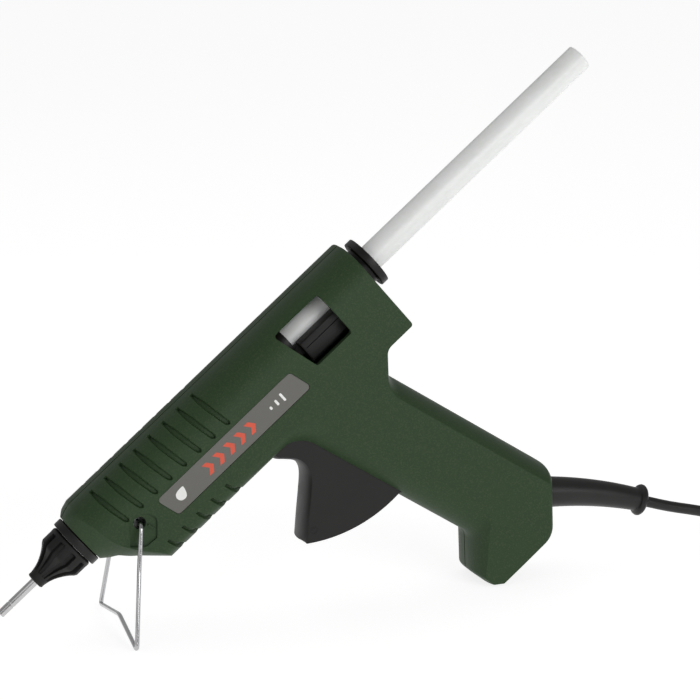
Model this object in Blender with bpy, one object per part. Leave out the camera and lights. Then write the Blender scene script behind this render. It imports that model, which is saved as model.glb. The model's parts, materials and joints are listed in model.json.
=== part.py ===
"""Hot-melt glue gun standing on its folding wire stand.

The gun is drawn in its own frame, which the empty "gun_frame" then tilts into the rest pose:
  x  along the barrel from the front of the nose ring towards the back
  y  across the gun; -y is the near half, +y the far half
  z  up, square to the barrel, 0 on the axis of nozzle and glue stick
The world frame has its floor at z = 0; the stand's two feet and the handle's base rest on it.
"""

import bpy
import bmesh
from math import asin, atan2, ceil, cos, hypot, pi, radians, sin, sqrt, tan
from mathutils import Matrix, Vector

for old in list(bpy.data.objects):
    bpy.data.objects.remove(old, do_unlink=True)

MM = 0.001

# ---- clearances -----------------------------------------------------------------------------
GAP = 0.3 * MM              # between pieces that touch or rest on each other
RUNNING = 0.15 * MM         # round a pin that turns
SWING = 0.4 * MM            # beside a piece that swings or slides past another

# ---- glue stick, the piece that sets the scale ----------------------------------------------
STICK_R = 5.5 * MM
STICK_FRONT = 30.0 * MM
STICK_REAR = 278.5 * MM
STICK_PLAY = 0.4 * MM       # radial play of the stick in everything that guides it

# ---- casing ---------------------------------------------------------------------------------
HALF_WIDTH = 17.5 * MM      # from the middle plane to each flat side
CROWN = 2.5 * MM            # half of the strip that stays level before the edges round off
WALL = 2.5 * MM
FRONT_WALL = 5.0 * MM
BARREL_ABOVE = 13.3 * MM
BARREL_BELOW = 27.4 * MM
NOSE_PLANE = 3.8 * MM       # where the casing is cut off behind the nose ring
NOSE_START = 1.3 * MM       # where the nose's rounding would begin
NOSE_HIGH = 10.6 * MM
NOSE_LOW = 10.8 * MM
NOSE_TOP_X = 9.7 * MM
CHIN_NOSE_X = 8.5 * MM
CHIN_NOSE_Z = 12.6 * MM
CHIN_X = 22.4 * MM
BODY_REAR = 155.5 * MM
NECK_X = 142.0 * MM
HANDLE_FRONT_X = 91.6 * MM  # where the handle's front line meets the underside of the barrel
HANDLE_DEPTH = 38.3 * MM
HANDLE_RAKE = radians(17.2)
HOOK_X, HOOK_Z = 112.0 * MM, -119.6 * MM     # a point on the front of the hook
HOOK_LOW = 126.0 * MM
BASE_X, BASE_Z = 111.0 * MM, -135.9 * MM     # middle of the flat that stands on the floor
BASE_LENGTH = 6.4 * MM
EXIT_X, EXIT_Z = 152.6 * MM, -127.4 * MM     # where the cord leaves the end of the handle
RIB_X = (13.5 * MM, 54.0 * MM)
RIB_THICK = 2.0 * MM

# ---- nose, nozzle and melting chamber ---------------------------------------------------------
RING_R = 10.8 * MM
RING_LENGTH = 3.4 * MM
RING_BORE = 7.5 * MM
RING_SPIGOT_R = 9.2 * MM
RING_SPIGOT_END = 6.5 * MM
SLEEVE_R = 9.7 * MM
SLEEVE_STRAIGHT = 7.6 * MM
SLEEVE_LENGTH = 20.5 * MM
SLEEVE_TIP_R = 3.5 * MM
SLEEVE_FINS = 10
NOZZLE_TIP = 38.8 * MM
NOZZLE_TUBE_R = 1.65 * MM
NOZZLE_BORE = 0.8 * MM
NOZZLE_HEX_R = 6.5 * MM
NOZZLE_HEX_FRONT = 6.0 * MM
NOZZLE_CONE_FRONT = 19.0 * MM
NOZZLE_THREAD_R = 4.9 * MM
NOZZLE_THREAD_END = 11.4 * MM
CHAMBER_FRONT = 2.0 * MM
CHAMBER_BOSS_R = 7.1 * MM
CHAMBER_BOSS_END = 12.0 * MM
CHAMBER_R = 8.5 * MM
CHAMBER_REAR = 58.0 * MM
CHAMBER_SPIGOT_R = 7.0 * MM
CHAMBER_SPIGOT_END = 66.0 * MM
CHAMBER_BORE_FRONT = 20.0 * MM
ORIFICE_R = 1.5 * MM
HEATER_FRONT, HEATER_REAR = 20.0 * MM, 48.0 * MM
HEATER_HALF_WIDTH = 6.5 * MM
HEATER_THICK = 2.4 * MM
CONTACT_THICK = 0.6 * MM
HEATER_TOP = -9.3 * MM
BLOCK_WALL = 1.6 * MM
TAB_REAR = 61.0 * MM
TAB_HALF_WIDTH = 2.5 * MM
FEED_TUBE_FRONT = 58.5 * MM
FEED_TUBE_REAR = 84.0 * MM
FEED_TUBE_WALL = 1.2 * MM
BAND_WIDTH = 4.0 * MM
BAND_THICK = 0.8 * MM

# ---- stick inlet at the back -------------------------------------------------------------------
COLLAR_R = 10.85 * MM
COLLAR_FRONT = 157.8 * MM
COLLAR_LENGTH = 3.2 * MM
COLLAR_NECK_R = 8.0 * MM
COLLAR_KEEPER_R = 9.4 * MM
COLLAR_KEEPER = 1.6 * MM

# ---- trigger, feed carriage and jaw -----------------------------------------------------------
PIVOT_X, PIVOT_Z = 102.9 * MM, -16.4 * MM
TRIGGER_ARC_R = 61.4 * MM
TRIGGER_HALF = 8.4 * MM
TRIGGER_HUB_R = 4.6 * MM
TRIGGER_PULL = radians(20)
PIN_R = 1.5 * MM
ARM_HALF = 2.6 * MM
ARM_THICK = 1.8 * MM
DRIVE_PIN_R = 1.2 * MM
PIVOT_BOSS_R = 3.6 * MM
CARRIAGE_FRONT = 116.7 * MM
CARRIAGE_LENGTH = 30.0 * MM
CARRIAGE_HALF = 11.5 * MM
CARRIAGE_TOP = -1.4 * MM
CARRIAGE_BOTTOM = -11.8 * MM
BAR_THICK = 2.2 * MM
BAR_LOW, BAR_HIGH = -6.0 * MM, 4.0 * MM
BAR_MARGIN = 3.0 * MM
JAW_X, JAW_Z = 139.0 * MM, -9.4 * MM
JAW_HALF = 2.5 * MM
JAW_R = 2.0 * MM
JAW_REACH = 9.0 * MM
JAW_PIN_R = 0.8 * MM
SPRING_R = 3.4 * MM
SPRING_WIRE_R = 0.45 * MM
SPRING_TURNS = 6
SPRING_Z = -44.0 * MM

# ---- wire stand ---------------------------------------------------------------------------------
STAND_X, STAND_Z = 24.4 * MM, -6.6 * MM
STAND_WIRE_R = 0.8 * MM
STAND_OPEN = radians(222.3)          # direction of the open legs, turned from +x towards +z
STAND_LEG = 46.2 * MM
STAND_APEX = 41.6 * MM
STAND_KNEE = 16.7 * MM
STAND_KNEE_OUT = 22.6 * MM
STAND_FOOT_OUT = 31.0 * MM
STAND_INNER = 13.6 * MM
STAND_HOLE_R = 2.5 * MM
STAND_BEND = 2.6 * MM
STAND_OUT = 1.7 * MM                 # how far the wire stands off the casing at the pivot

# ---- window and label ---------------------------------------------------------------------------
WINDOW_FRONT, WINDOW_REAR = 111.0 * MM, 134.8 * MM
WINDOW_TOP, WINDOW_BOTTOM = 9.0 * MM, -10.6 * MM
WINDOW_LEAN = 5.0 * MM
LABEL_FRONT, LABEL_REAR = 36.2 * MM, 108.0 * MM
LABEL_TOP, LABEL_BOTTOM = -4.4 * MM, -14.4 * MM
LABEL_LEAN = 2.4 * MM
LABEL_THICK = 0.6 * MM
LABEL_CORNER = 2.0 * MM
LABEL_RECESS = 0.6 * MM

# ---- screws --------------------------------------------------------------------------------------
SCREW_PLACES = ((31.0 * MM, -21.0 * MM), (70.0 * MM, -21.0 * MM), (148.0 * MM, -21.2 * MM),
                (135.5 * MM, -62.0 * MM), (122.0 * MM, -124.0 * MM))
SCREW_R = 1.5 * MM
SCREW_HEAD_R = 2.8 * MM
SCREW_HEAD = 2.0 * MM
SCREW_LENGTH = 18.0 * MM
SCREW_SEAT = 9.0 * MM                # how far the underside of the head is from the middle plane
BOSS_R = 3.7 * MM

# ---- cord, strain relief and clamp ----------------------------------------------------------------
CORD_R = 2.3 * MM
RELIEF_ROOT_R = 6.0 * MM
RELIEF_END_R = 4.55 * MM
RELIEF_LENGTH = 44.5 * MM
RELIEF_DROOP = radians(16.0)
BEAD_R = 6.35 * MM
BEAD_LENGTH = 3.2 * MM
RELIEF_NECK_R = 4.6 * MM
RELIEF_FLANGE_R = 6.6 * MM
RELIEF_FLANGE = 2.0 * MM
CORD_STUB = 16.0 * MM
CLAMP_AT = 12.0 * MM
CLAMP_HALF_SPAN = 11.0 * MM
CLAMP_WIDTH = 6.0 * MM
CLAMP_THICK = 2.4 * MM
CLAMP_SCREW_OUT = 8.0 * MM
LEAD_R = 1.0 * MM

# ---- coil and plug, in world places ------------------------------------------------------------------
COIL_TURNS_PER_LAYER = 4
COIL_MEAN_R = 26.5 * MM
COIL_LIFT = 1.0 * MM                 # the tie passes below the coil
PLUG_LENGTH = 36.0 * MM
PLUG_HALF_WIDTH = 13.0 * MM
PLUG_HALF_THICK = 7.0 * MM
PLUG_PIN_R = 2.0 * MM
PLUG_PIN_LENGTH = 19.0 * MM
PLUG_PIN_OUT = 9.3 * MM
TIE_WIDTH = 7.0 * MM
TIE_THICK = 0.7 * MM

# ---- stand geometry: the tilt that puts feet and base on the floor ---------------------------------------
FOOT_X = STAND_X + STAND_LEG * cos(STAND_OPEN)
FOOT_Z = STAND_Z + STAND_LEG * sin(STAND_OPEN)
TILT = (atan2(FOOT_Z - BASE_Z, BASE_X - FOOT_X)
        - asin(STAND_WIRE_R / hypot(BASE_X - FOOT_X, FOOT_Z - BASE_Z)))
UP = Vector((sin(TILT), cos(TILT)))          # the world's up, as (x, z) in the gun frame
BACK = Vector((cos(TILT), -sin(TILT)))       # the world's +x, as (x, z) in the gun frame


def world_xz(point):
    """World x and z, before the gun frame is moved, of an (x, z) point of the gun frame."""
    p = Vector(point)
    return p.dot(BACK), p.dot(UP)


LEFT = world_xz((-NOZZLE_TIP, NOZZLE_TUBE_R))[0]
RIGHT = world_xz((STICK_REAR, -STICK_R))[0]
SHIFT_X = -(LEFT + RIGHT) / 2
SHIFT_Z = -world_xz((BASE_X, BASE_Z))[1]


def to_world(x, y, z):
    wx, wz = world_xz((x, z))
    return Vector((wx + SHIFT_X, y, wz + SHIFT_Z))


# ---- materials ------------------------------------------------------------------------------------------

def material(name, colour, roughness, metallic=0.0, alpha=1.0):
    mat = bpy.data.materials.new(name)
    mat.use_nodes = True
    shader = mat.node_tree.nodes["Principled BSDF"]
    shader.inputs["Base Color"].default_value = (*colour, 1.0)
    shader.inputs["Roughness"].default_value = roughness
    shader.inputs["Metallic"].default_value = metallic
    shader.inputs["Alpha"].default_value = alpha
    mat.diffuse_color = (*colour, alpha)
    return mat


GREEN = material("casing_green", (0.032, 0.068, 0.030), 0.55)
BLACK = material("black_plastic", (0.018, 0.017, 0.016), 0.5)
SLEEVE_BLACK = material("sleeve_black", (0.02, 0.018, 0.017), 0.6)
RUBBER = material("cord_black", (0.014, 0.014, 0.015), 0.5)
CHROME = material("chrome_wire", (0.8, 0.8, 0.8), 0.15, 1.0)
STEEL = material("steel", (0.55, 0.55, 0.55), 0.3, 1.0)
ALUMINIUM = material("aluminium", (0.7, 0.7, 0.72), 0.4, 1.0)
BRASS = material("brass", (0.75, 0.55, 0.25), 0.35, 1.0)
GLUE = material("glue", (0.82, 0.83, 0.81), 0.35, 0.0, 0.85)
SILICONE = material("silicone", (0.45, 0.08, 0.05), 0.6)
CERAMIC = material("ceramic", (0.75, 0.72, 0.65), 0.7)
LABEL_GREY = material("label_grey", (0.13, 0.13, 0.12), 0.4)
INSULATION = material("lead_sleeve", (0.75, 0.75, 0.72), 0.5)

# ---- mesh tools ----------------------------------------------------------------------------------------------

gun_frame = bpy.data.objects.new("gun_frame", None)
bpy.context.scene.collection.objects.link(gun_frame)
gun_frame.location = (SHIFT_X, 0.0, SHIFT_Z)
gun_frame.rotation_euler = (0.0, -TILT, 0.0)
SMOOTH_ANGLE = radians(32)


def finish(name, bm, mat, origin=(0.0, 0.0, 0.0), parent=gun_frame):
    """Turn a bmesh into a named object whose origin is at origin, in its parent's frame."""
    bmesh.ops.recalc_face_normals(bm, faces=bm.faces)
    bmesh.ops.translate(bm, vec=-Vector(origin), verts=bm.verts)
    mesh = bpy.data.meshes.new(name)
    bm.to_mesh(mesh)
    bm.free()
    mesh.shade_smooth()
    mesh.set_sharp_from_angle(angle=SMOOTH_ANGLE)
    mesh.materials.append(mat)
    obj = bpy.data.objects.new(name, mesh)
    bpy.context.scene.collection.objects.link(obj)
    obj.location = origin
    obj.parent = parent
    return obj


def as_cutter(obj):
    obj.hide_render = True
    obj.display_type = "WIRE"
    return obj


def boolean(target, tool, operation):
    """Cut target with tool, or join tool to it; tool is a guide from then on."""
    as_cutter(tool)
    step = target.modifiers.new(operation.lower() + "_" + tool.name, "BOOLEAN")
    step.operation = operation
    step.solver = "EXACT"
    step.object = tool


def cut(target, *tools):
    for tool in tools:
        boolean(target, tool, "DIFFERENCE")


def join(target, *tools):
    for tool in tools:
        boolean(target, tool, "UNION")


def loft(rings, closed=False):
    """A solid through rings of equally many points, capped at both ends unless it closes on itself."""
    bm = bmesh.new()
    rows = [[bm.verts.new(p) for p in ring] for ring in rings]
    pairs = list(zip(rows, rows[1:]))
    if closed:
        pairs.append((rows[-1], rows[0]))
    for row, following in pairs:
        for i in range(len(row)):
            j = (i + 1) % len(row)
            bm.faces.new((row[i], row[j], following[j], following[i]))
    if not closed:
        bm.faces.new(rows[0])
        bm.faces.new(rows[-1][::-1])
    return bm


def circle(centre, across, over, radius, sides):
    """Points of a circle spanned by the unit vectors across and over."""
    return [centre + radius * (cos(a) * across + sin(a) * over)
            for a in (2 * pi * i / sides for i in range(sides))]


def rod(start, end, radius, sides=20):
    """A round bar between two points."""
    start, end = Vector(start), Vector(end)
    across = (end - start).normalized().orthogonal().normalized()
    over = (end - start).normalized().cross(across)
    return loft([circle(p, across, over, radius, sides) for p in (start, end)])


def turned(profile, sides=28, hollow=True):
    """A solid turned about the barrel's axis from (x, radius) points."""
    across, over = Vector((0, 1, 0)), Vector((0, 0, 1))
    return loft([circle(Vector((x, 0, 0)), across, over, r, sides) for x, r in profile], hollow)


def slab(points, low, high):
    """An outline of (x, z) points, as a solid from y = low to y = high."""
    return loft([[Vector((x, y, z)) for x, z in points] for y in (low, high)])


def box(x0, x1, y0, y1, z0, z1):
    return slab([(x0, z0), (x0, z1), (x1, z1), (x1, z0)], y0, y1)


# ---- outlines ----------------------------------------------------------------------------------------------

def meet(p, d, q, e):
    """Where the line through p along d meets the line through q along e."""
    p, d, q, e = Vector(p), Vector(d), Vector(q), Vector(e)
    t = (q - p).cross(e) / d.cross(e)
    return p + t * d


def inset(corners, depths):
    """Move each edge of a clockwise outline inwards by its own depth; edge i starts at corner i."""
    count = len(corners)
    moved = []
    for i in range(count):
        before = (corners[i] - corners[i - 1]).normalized()
        after = (corners[(i + 1) % count] - corners[i]).normalized()
        p = corners[i] + Vector((before.y, -before.x)) * depths[i - 1]
        q = corners[i] + Vector((after.y, -after.x)) * depths[i]
        moved.append(meet(p, before, q, after))
    return moved


def fillet(corners, radii, arc_step=radians(18)):
    """Round each corner of an outline; the number of points depends on the corners' turns alone."""
    points = []
    count = len(corners)
    for i in range(count):
        before = (corners[i] - corners[i - 1]).normalized()
        after = (corners[(i + 1) % count] - corners[i]).normalized()
        turn = before.angle_signed(after)
        if radii[i] == 0.0:
            points.append(corners[i].copy())
            continue
        start = corners[i] - before * radii[i] * tan(abs(turn) / 2)
        side = 1.0 if turn > 0 else -1.0
        centre = start + Vector((before.y, -before.x)) * radii[i] * side
        steps = max(2, ceil(abs(turn) / arc_step))
        for k in range(steps + 1):
            points.append(centre + Matrix.Rotation(-turn * k / steps, 2) @ (start - centre))
    return points


def casing_outline():
    """Corners of the casing seen from the side, each edge's rounding and each corner's radius."""
    rake = Vector((sin(HANDLE_RAKE), -cos(HANDLE_RAKE)))
    front = Vector((HANDLE_FRONT_X, -BARREL_BELOW))
    rear = front + Vector((cos(HANDLE_RAKE), sin(HANDLE_RAKE))) * HANDLE_DEPTH
    base = Vector((BASE_X, BASE_Z))
    hook = (HOOK_X, HOOK_Z)
    cord = (EXIT_X, EXIT_Z)
    neck = Vector((NECK_X, -BARREL_BELOW))
    base_rear = base + BACK * BASE_LENGTH / 2
    level = (1.0, 0.0)
    rows = (
        # corner                                       edge rounding   corner radius
        ((NOSE_START, -NOSE_LOW),                      10.0 * MM,      1.0 * MM),
        ((NOSE_START, NOSE_HIGH),                      15.0 * MM,      1.0 * MM),
        ((NOSE_TOP_X, BARREL_ABOVE),                   15.0 * MM,      2.0 * MM),
        ((BODY_REAR, BARREL_ABOVE),                    2.5 * MM,       1.2 * MM),
        ((BODY_REAR, -BARREL_BELOW),                   3.0 * MM,       2.5 * MM),
        (neck,                                         4.0 * MM,       4.0 * MM),
        (meet(neck, -UP, rear, rake),                  5.6 * MM,       9.0 * MM),
        (meet(rear, rake, cord, UP),                   3.0 * MM,       5.0 * MM),
        (meet(cord, UP, base_rear, level),             3.5 * MM,       11.0 * MM),
        (base_rear,                                    2.0 * MM,       1.5 * MM),
        (base - BACK * BASE_LENGTH / 2,                2.5 * MM,       1.5 * MM),
        (meet(hook, UP, (0.0, -HOOK_LOW), level),      6.0 * MM,       3.0 * MM),
        (meet(hook, UP, front, rake),                  13.4 * MM,      5.0 * MM),
        (front,                                        9.0 * MM,       9.0 * MM),
        ((CHIN_X, -BARREL_BELOW),                      8.0 * MM,       1.0 * MM),
        ((CHIN_NOSE_X, -CHIN_NOSE_Z),                  4.0 * MM,       2.5 * MM),
    )
    return [Vector(r[0]) for r in rows], [r[1] for r in rows], [r[2] for r in rows]


def casing_rings(walls, half_width, side, seam, steps=4):
    """Rings of a casing half, from the seam plane out to the flat side.

    Each edge rounds off over its own depth, as a quarter ellipse. walls is how far every edge
    lies inside the casing's outer surface.
    """
    corners, rounding, radii = casing_outline()
    rings = []
    for k in range(-1, steps + 1):
        angle = pi / 2 * max(k, 0) / steps
        depths = [w + max(r - w, 0.0) * (1 - cos(angle)) for r, w in zip(rounding, walls)]
        shrunk = inset(corners, depths)
        kept = []
        for i, radius in enumerate(radii):
            before = corners[i] - corners[i - 1]
            after = corners[(i + 1) % len(corners)] - corners[i]
            depth = min(depths[i - 1], depths[i])
            hollow = before.cross(after) > 0
            kept.append(radius + depth if hollow else max(radius - depth, 0.3 * MM))
        y = seam if k < 0 else CROWN + (half_width - CROWN) * sin(angle)
        rings.append([Vector((p.x, side * y, p.y)) for p in fillet(shrunk, kept)])
    return rings


# ---- casing ------------------------------------------------------------------------------------------------

def screw_seat_cutters(side):
    """Holes for the casing screws, which go in from the far side."""
    tools = []
    for i, (x, z) in enumerate(SCREW_PLACES):
        tag = f"cut_screw_{side}_{i}"
        if side > 0:
            hole = rod((x, -GAP, z), (x, SCREW_SEAT + GAP, z), SCREW_R + SWING)
            recess = rod((x, SCREW_SEAT, z), (x, HALF_WIDTH + WALL, z), SCREW_HEAD_R + SWING)
            tools.append(finish(tag + "_recess", recess, GREEN))
        else:
            depth = SCREW_LENGTH - SCREW_SEAT + GAP
            hole = rod((x, GAP, z), (x, -depth, z), SCREW_R + RUNNING)
        tools.append(finish(tag, hole, GREEN))
    return tools


def bosses_and_ribs(side):
    """What stands up inside a casing half, as guides that spare the hollow."""
    outer = side * HALF_WIDTH
    tools = []
    for i, (x, z) in enumerate(SCREW_PLACES):
        tools.append(finish(f"keep_boss_{side}_{i}", rod((x, outer, z), (x, -side * MM, z), BOSS_R), GREEN))
    inner = side * (TRIGGER_HALF + SWING)
    pivot = rod((PIVOT_X, outer, PIVOT_Z), (PIVOT_X, inner, PIVOT_Z), PIVOT_BOSS_R)
    tools.append(finish(f"keep_pivot_{side}", pivot, GREEN))
    for i, x in enumerate(RIB_X):
        rib = box(x, x + RIB_THICK, -side * MM, outer, -BARREL_BELOW, BARREL_ABOVE)
        plate = finish(f"keep_rib_{side}_{i}", rib, GREEN)
        bore = rod((x - MM, 0, 0), (x + RIB_THICK + MM, 0, 0), CHAMBER_R + SWING, 28)
        notch = box(x - MM, x + RIB_THICK + MM, -HEATER_HALF_WIDTH, HEATER_HALF_WIDTH,
                    HEATER_TOP - block_depth() - SWING, 0.0)
        cut(plate, finish(f"cut_rib_bore_{side}_{i}", bore, GREEN),
            finish(f"cut_rib_notch_{side}_{i}", notch, GREEN))
        tools.append(plate)
    if side < 0:
        for i, (x, z) in enumerate(clamp_screw_places()):
            tools.append(finish(f"keep_clamp_{i}", rod((x, outer, z), (x, -side * MM, z), 2.8 * MM), GREEN))
    return tools


def trigger_slot():
    """The sector that the trigger swings through, between the casing halves."""
    pivot = Vector((PIVOT_X, PIVOT_Z))
    radius = TRIGGER_ARC_R + SWING
    front, back = radians(205.5), radians(281.0)
    steps = 16
    arc = [pivot + radius * Vector((cos(a), sin(a)))
           for a in (front + (back - front) * k / steps for k in range(steps + 1))]
    half = TRIGGER_HALF + SWING
    return slab([pivot] + arc, -half, half)


def window_outline(grow=0.0):
    top, bottom = WINDOW_TOP + grow, WINDOW_BOTTOM - grow
    corners = [Vector((WINDOW_FRONT - grow, top)), Vector((WINDOW_REAR + grow, top)),
               Vector((WINDOW_REAR + grow, bottom)),
               Vector((WINDOW_FRONT + WINDOW_LEAN - grow, bottom))]
    return fillet(corners, [1.2 * MM] * 4, radians(30))


def label_outline(shrink=0.0):
    lean = LABEL_LEAN
    corners = [Vector((LABEL_FRONT + shrink, LABEL_TOP - shrink)),
               Vector((LABEL_REAR - lean - shrink, LABEL_TOP - shrink)),
               Vector((LABEL_REAR - shrink, LABEL_BOTTOM + shrink)),
               Vector((LABEL_FRONT + lean + shrink, LABEL_BOTTOM + shrink))]
    return fillet(corners, [LABEL_CORNER - shrink] * 4, radians(30))


def casing(side, name):
    count = len(casing_outline()[0])
    outer = casing_rings([0.0] * count, HALF_WIDTH, side, GAP / 2)
    shell = finish(name, loft(outer), GREEN)
    walls = [FRONT_WALL] + [WALL] * (count - 1)
    hollow = finish(f"cut_hollow_{side}", loft(casing_rings(walls, HALF_WIDTH - WALL, side, -MM)), GREEN)
    cut(hollow, *bosses_and_ribs(side))
    reach = 2 * HALF_WIDTH
    nose = box(-5 * MM, NOSE_PLANE, -reach, reach, -reach, reach)
    nose_bore = rod((0, 0, 0), (9 * MM, 0, 0), RING_SPIGOT_R + GAP, 32)
    rear_bore = rod((BODY_REAR - 2 * WALL, 0, 0), (BODY_REAR + MM, 0, 0), COLLAR_NECK_R + GAP, 32)
    pin_bore = rod((PIVOT_X, 0, PIVOT_Z), (PIVOT_X, side * pin_half(GAP), PIVOT_Z), PIN_R + RUNNING)
    stand_bore = rod((STAND_X, side * STAND_INNER * 0.9, STAND_Z),
                     (STAND_X, side * (HALF_WIDTH + MM), STAND_Z), STAND_HOLE_R)
    base = to_gun_exit(0.0)
    relief_bore = rod(base + exit_vector(2.0 * MM), base + exit_vector(-12.0 * MM), RELIEF_NECK_R + GAP, 24)
    tools = [(nose, "nose"), (nose_bore, "nose_bore"), (rear_bore, "rear_bore"), (pin_bore, "pin_bore"),
             (stand_bore, "stand_bore"), (relief_bore, "relief_bore"), (trigger_slot(), "trigger_slot")]
    if side < 0:
        window = slab(window_outline(), -HALF_WIDTH - MM, -MM)
        seat = slab(label_outline(), -HALF_WIDTH - MM, -HALF_WIDTH + LABEL_RECESS)
        tools += [(window, "window"), (seat, "label_seat")]
    cut(shell, hollow, *[finish(f"cut_{tag}_{side}", bm, GREEN) for bm, tag in tools])
    cut(shell, *screw_seat_cutters(side))
    return shell


def label():
    """The grey strip that is let into the near side."""
    low = -HALF_WIDTH + LABEL_RECESS - GAP
    finish("label_strip", slab(label_outline(GAP), low - LABEL_THICK, low), LABEL_GREY)


# ---- nose and heating ------------------------------------------------------------------------------------------

def block_depth():
    """Height of the heater's pocket: the heater, two contacts and the gaps round them."""
    return HEATER_THICK + 2 * CONTACT_THICK + 4 * GAP


def nose_ring():
    profile = [(0, RING_BORE), (0, RING_R - 0.4 * MM), (0.4 * MM, RING_R),
               (RING_LENGTH, RING_R), (RING_LENGTH, RING_SPIGOT_R),
               (RING_SPIGOT_END, RING_SPIGOT_R), (RING_SPIGOT_END, RING_BORE)]
    finish("nose_ring", turned(profile, 28), BLACK)


def sleeve_radius(x):
    """Outer radius of the nozzle sleeve: straight at the back, then a hollow curve to the tip."""
    if x <= SLEEVE_STRAIGHT:
        return SLEEVE_R
    t = (x - SLEEVE_STRAIGHT) / (SLEEVE_LENGTH - SLEEVE_STRAIGHT)
    return SLEEVE_R + (SLEEVE_TIP_R - SLEEVE_R) * sin(t * pi / 2) ** 0.8


def nozzle_sleeve():
    stations = [GAP, SLEEVE_STRAIGHT] + [SLEEVE_STRAIGHT + (SLEEVE_LENGTH - SLEEVE_STRAIGHT) * k / 6
                                         for k in range(1, 7)]
    profile = [(-x, sleeve_radius(x)) for x in stations]
    bore = NOZZLE_TUBE_R + GAP
    inner = [(-SLEEVE_LENGTH, bore), (-NOZZLE_CONE_FRONT, bore), (-NOZZLE_HEX_FRONT - GAP, NOZZLE_HEX_R),
             (-NOZZLE_HEX_FRONT - GAP, NOZZLE_HEX_R + GAP), (-GAP, NOZZLE_HEX_R + GAP)]
    inner[2] = (-NOZZLE_HEX_FRONT - 2 * GAP, 5.2 * MM)
    sleeve = finish("nozzle_sleeve", turned(profile + inner, 30), SLEEVE_BLACK)
    for k in range(SLEEVE_FINS):
        turn = Matrix.Rotation(2 * pi * (k + 0.5) / SLEEVE_FINS, 4, "X")
        floor = [(-x, sleeve_radius(x) - 1.5 * MM) for x in (2.2 * MM, SLEEVE_STRAIGHT, 11 * MM, 14 * MM)]
        groove = slab(floor + [(-17 * MM, 14 * MM), (-2.2 * MM, 14 * MM)], -1.0 * MM, 1.0 * MM)
        bmesh.ops.transform(groove, matrix=turn, verts=groove.verts)
        cut(sleeve, finish(f"cut_fin_{k}", groove, SLEEVE_BLACK))


def nozzle():
    profile = [(-NOZZLE_TIP, NOZZLE_BORE), (-NOZZLE_TIP, NOZZLE_TUBE_R - 0.3 * MM),
               (-NOZZLE_TIP + 0.3 * MM, NOZZLE_TUBE_R), (-NOZZLE_CONE_FRONT - GAP, NOZZLE_TUBE_R),
               (-NOZZLE_HEX_FRONT, 4.6 * MM), (-NOZZLE_HEX_FRONT, NOZZLE_HEX_R),
               (CHAMBER_FRONT - GAP, NOZZLE_HEX_R), (CHAMBER_FRONT - GAP, NOZZLE_THREAD_R),
               (NOZZLE_THREAD_END, NOZZLE_THREAD_R), (NOZZLE_THREAD_END, NOZZLE_BORE)]
    finish("nozzle", turned(profile, 24), STEEL)


def melt_chamber():
    thread = NOZZLE_THREAD_R + GAP
    bore = STICK_R + STICK_PLAY
    profile = [(CHAMBER_FRONT, thread), (CHAMBER_FRONT, CHAMBER_BOSS_R), (CHAMBER_BOSS_END, CHAMBER_BOSS_R),
               (CHAMBER_BOSS_END, CHAMBER_R), (CHAMBER_REAR, CHAMBER_R), (CHAMBER_REAR, CHAMBER_SPIGOT_R),
               (CHAMBER_SPIGOT_END, CHAMBER_SPIGOT_R), (CHAMBER_SPIGOT_END, bore),
               (CHAMBER_BORE_FRONT, bore), (CHAMBER_BORE_FRONT - 3 * MM, ORIFICE_R),
               (NOZZLE_THREAD_END + GAP, ORIFICE_R), (NOZZLE_THREAD_END + GAP, thread)]
    chamber = finish("melt_chamber", turned(profile, 32), ALUMINIUM)
    half = HEATER_HALF_WIDTH + GAP
    low = HEATER_TOP - block_depth()
    block = box(HEATER_FRONT - 2 * MM, HEATER_REAR + 2 * MM, -half - BLOCK_WALL, half + BLOCK_WALL,
                low - BLOCK_WALL, -7.0 * MM)
    pocket = box(HEATER_FRONT - GAP, HEATER_REAR + 5 * MM, -half, half, low, HEATER_TOP)
    pocket_tool = finish("cut_pocket", pocket, ALUMINIUM)
    join(chamber, finish("add_block", block, ALUMINIUM))
    cut(chamber, pocket_tool)


def heater():
    """The heating element between its two contact plates, in the pocket under the chamber."""
    top = HEATER_TOP - GAP
    half = HEATER_HALF_WIDTH
    upper = box(HEATER_FRONT, HEATER_REAR, -half, half, top - CONTACT_THICK, top)
    lower_top = top - CONTACT_THICK - HEATER_THICK - 2 * GAP
    lower = box(HEATER_FRONT, HEATER_REAR, -half, half, lower_top - CONTACT_THICK, lower_top)
    element_top = top - CONTACT_THICK - GAP
    element = box(HEATER_FRONT, HEATER_REAR, -half, half, element_top - HEATER_THICK, element_top)
    tabs = ((upper, "contact_upper", top, -1), (lower, "contact_lower", lower_top, 1))
    for plate, name, z, side in tabs:
        tab = box(HEATER_REAR - MM, TAB_REAR, side * 4 * MM - TAB_HALF_WIDTH, side * 4 * MM + TAB_HALF_WIDTH,
                  z - CONTACT_THICK, z)
        join(finish(name, plate, BRASS), finish("add_tab_" + name, tab, BRASS))
    finish("ptc_heater", element, CERAMIC)


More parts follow.
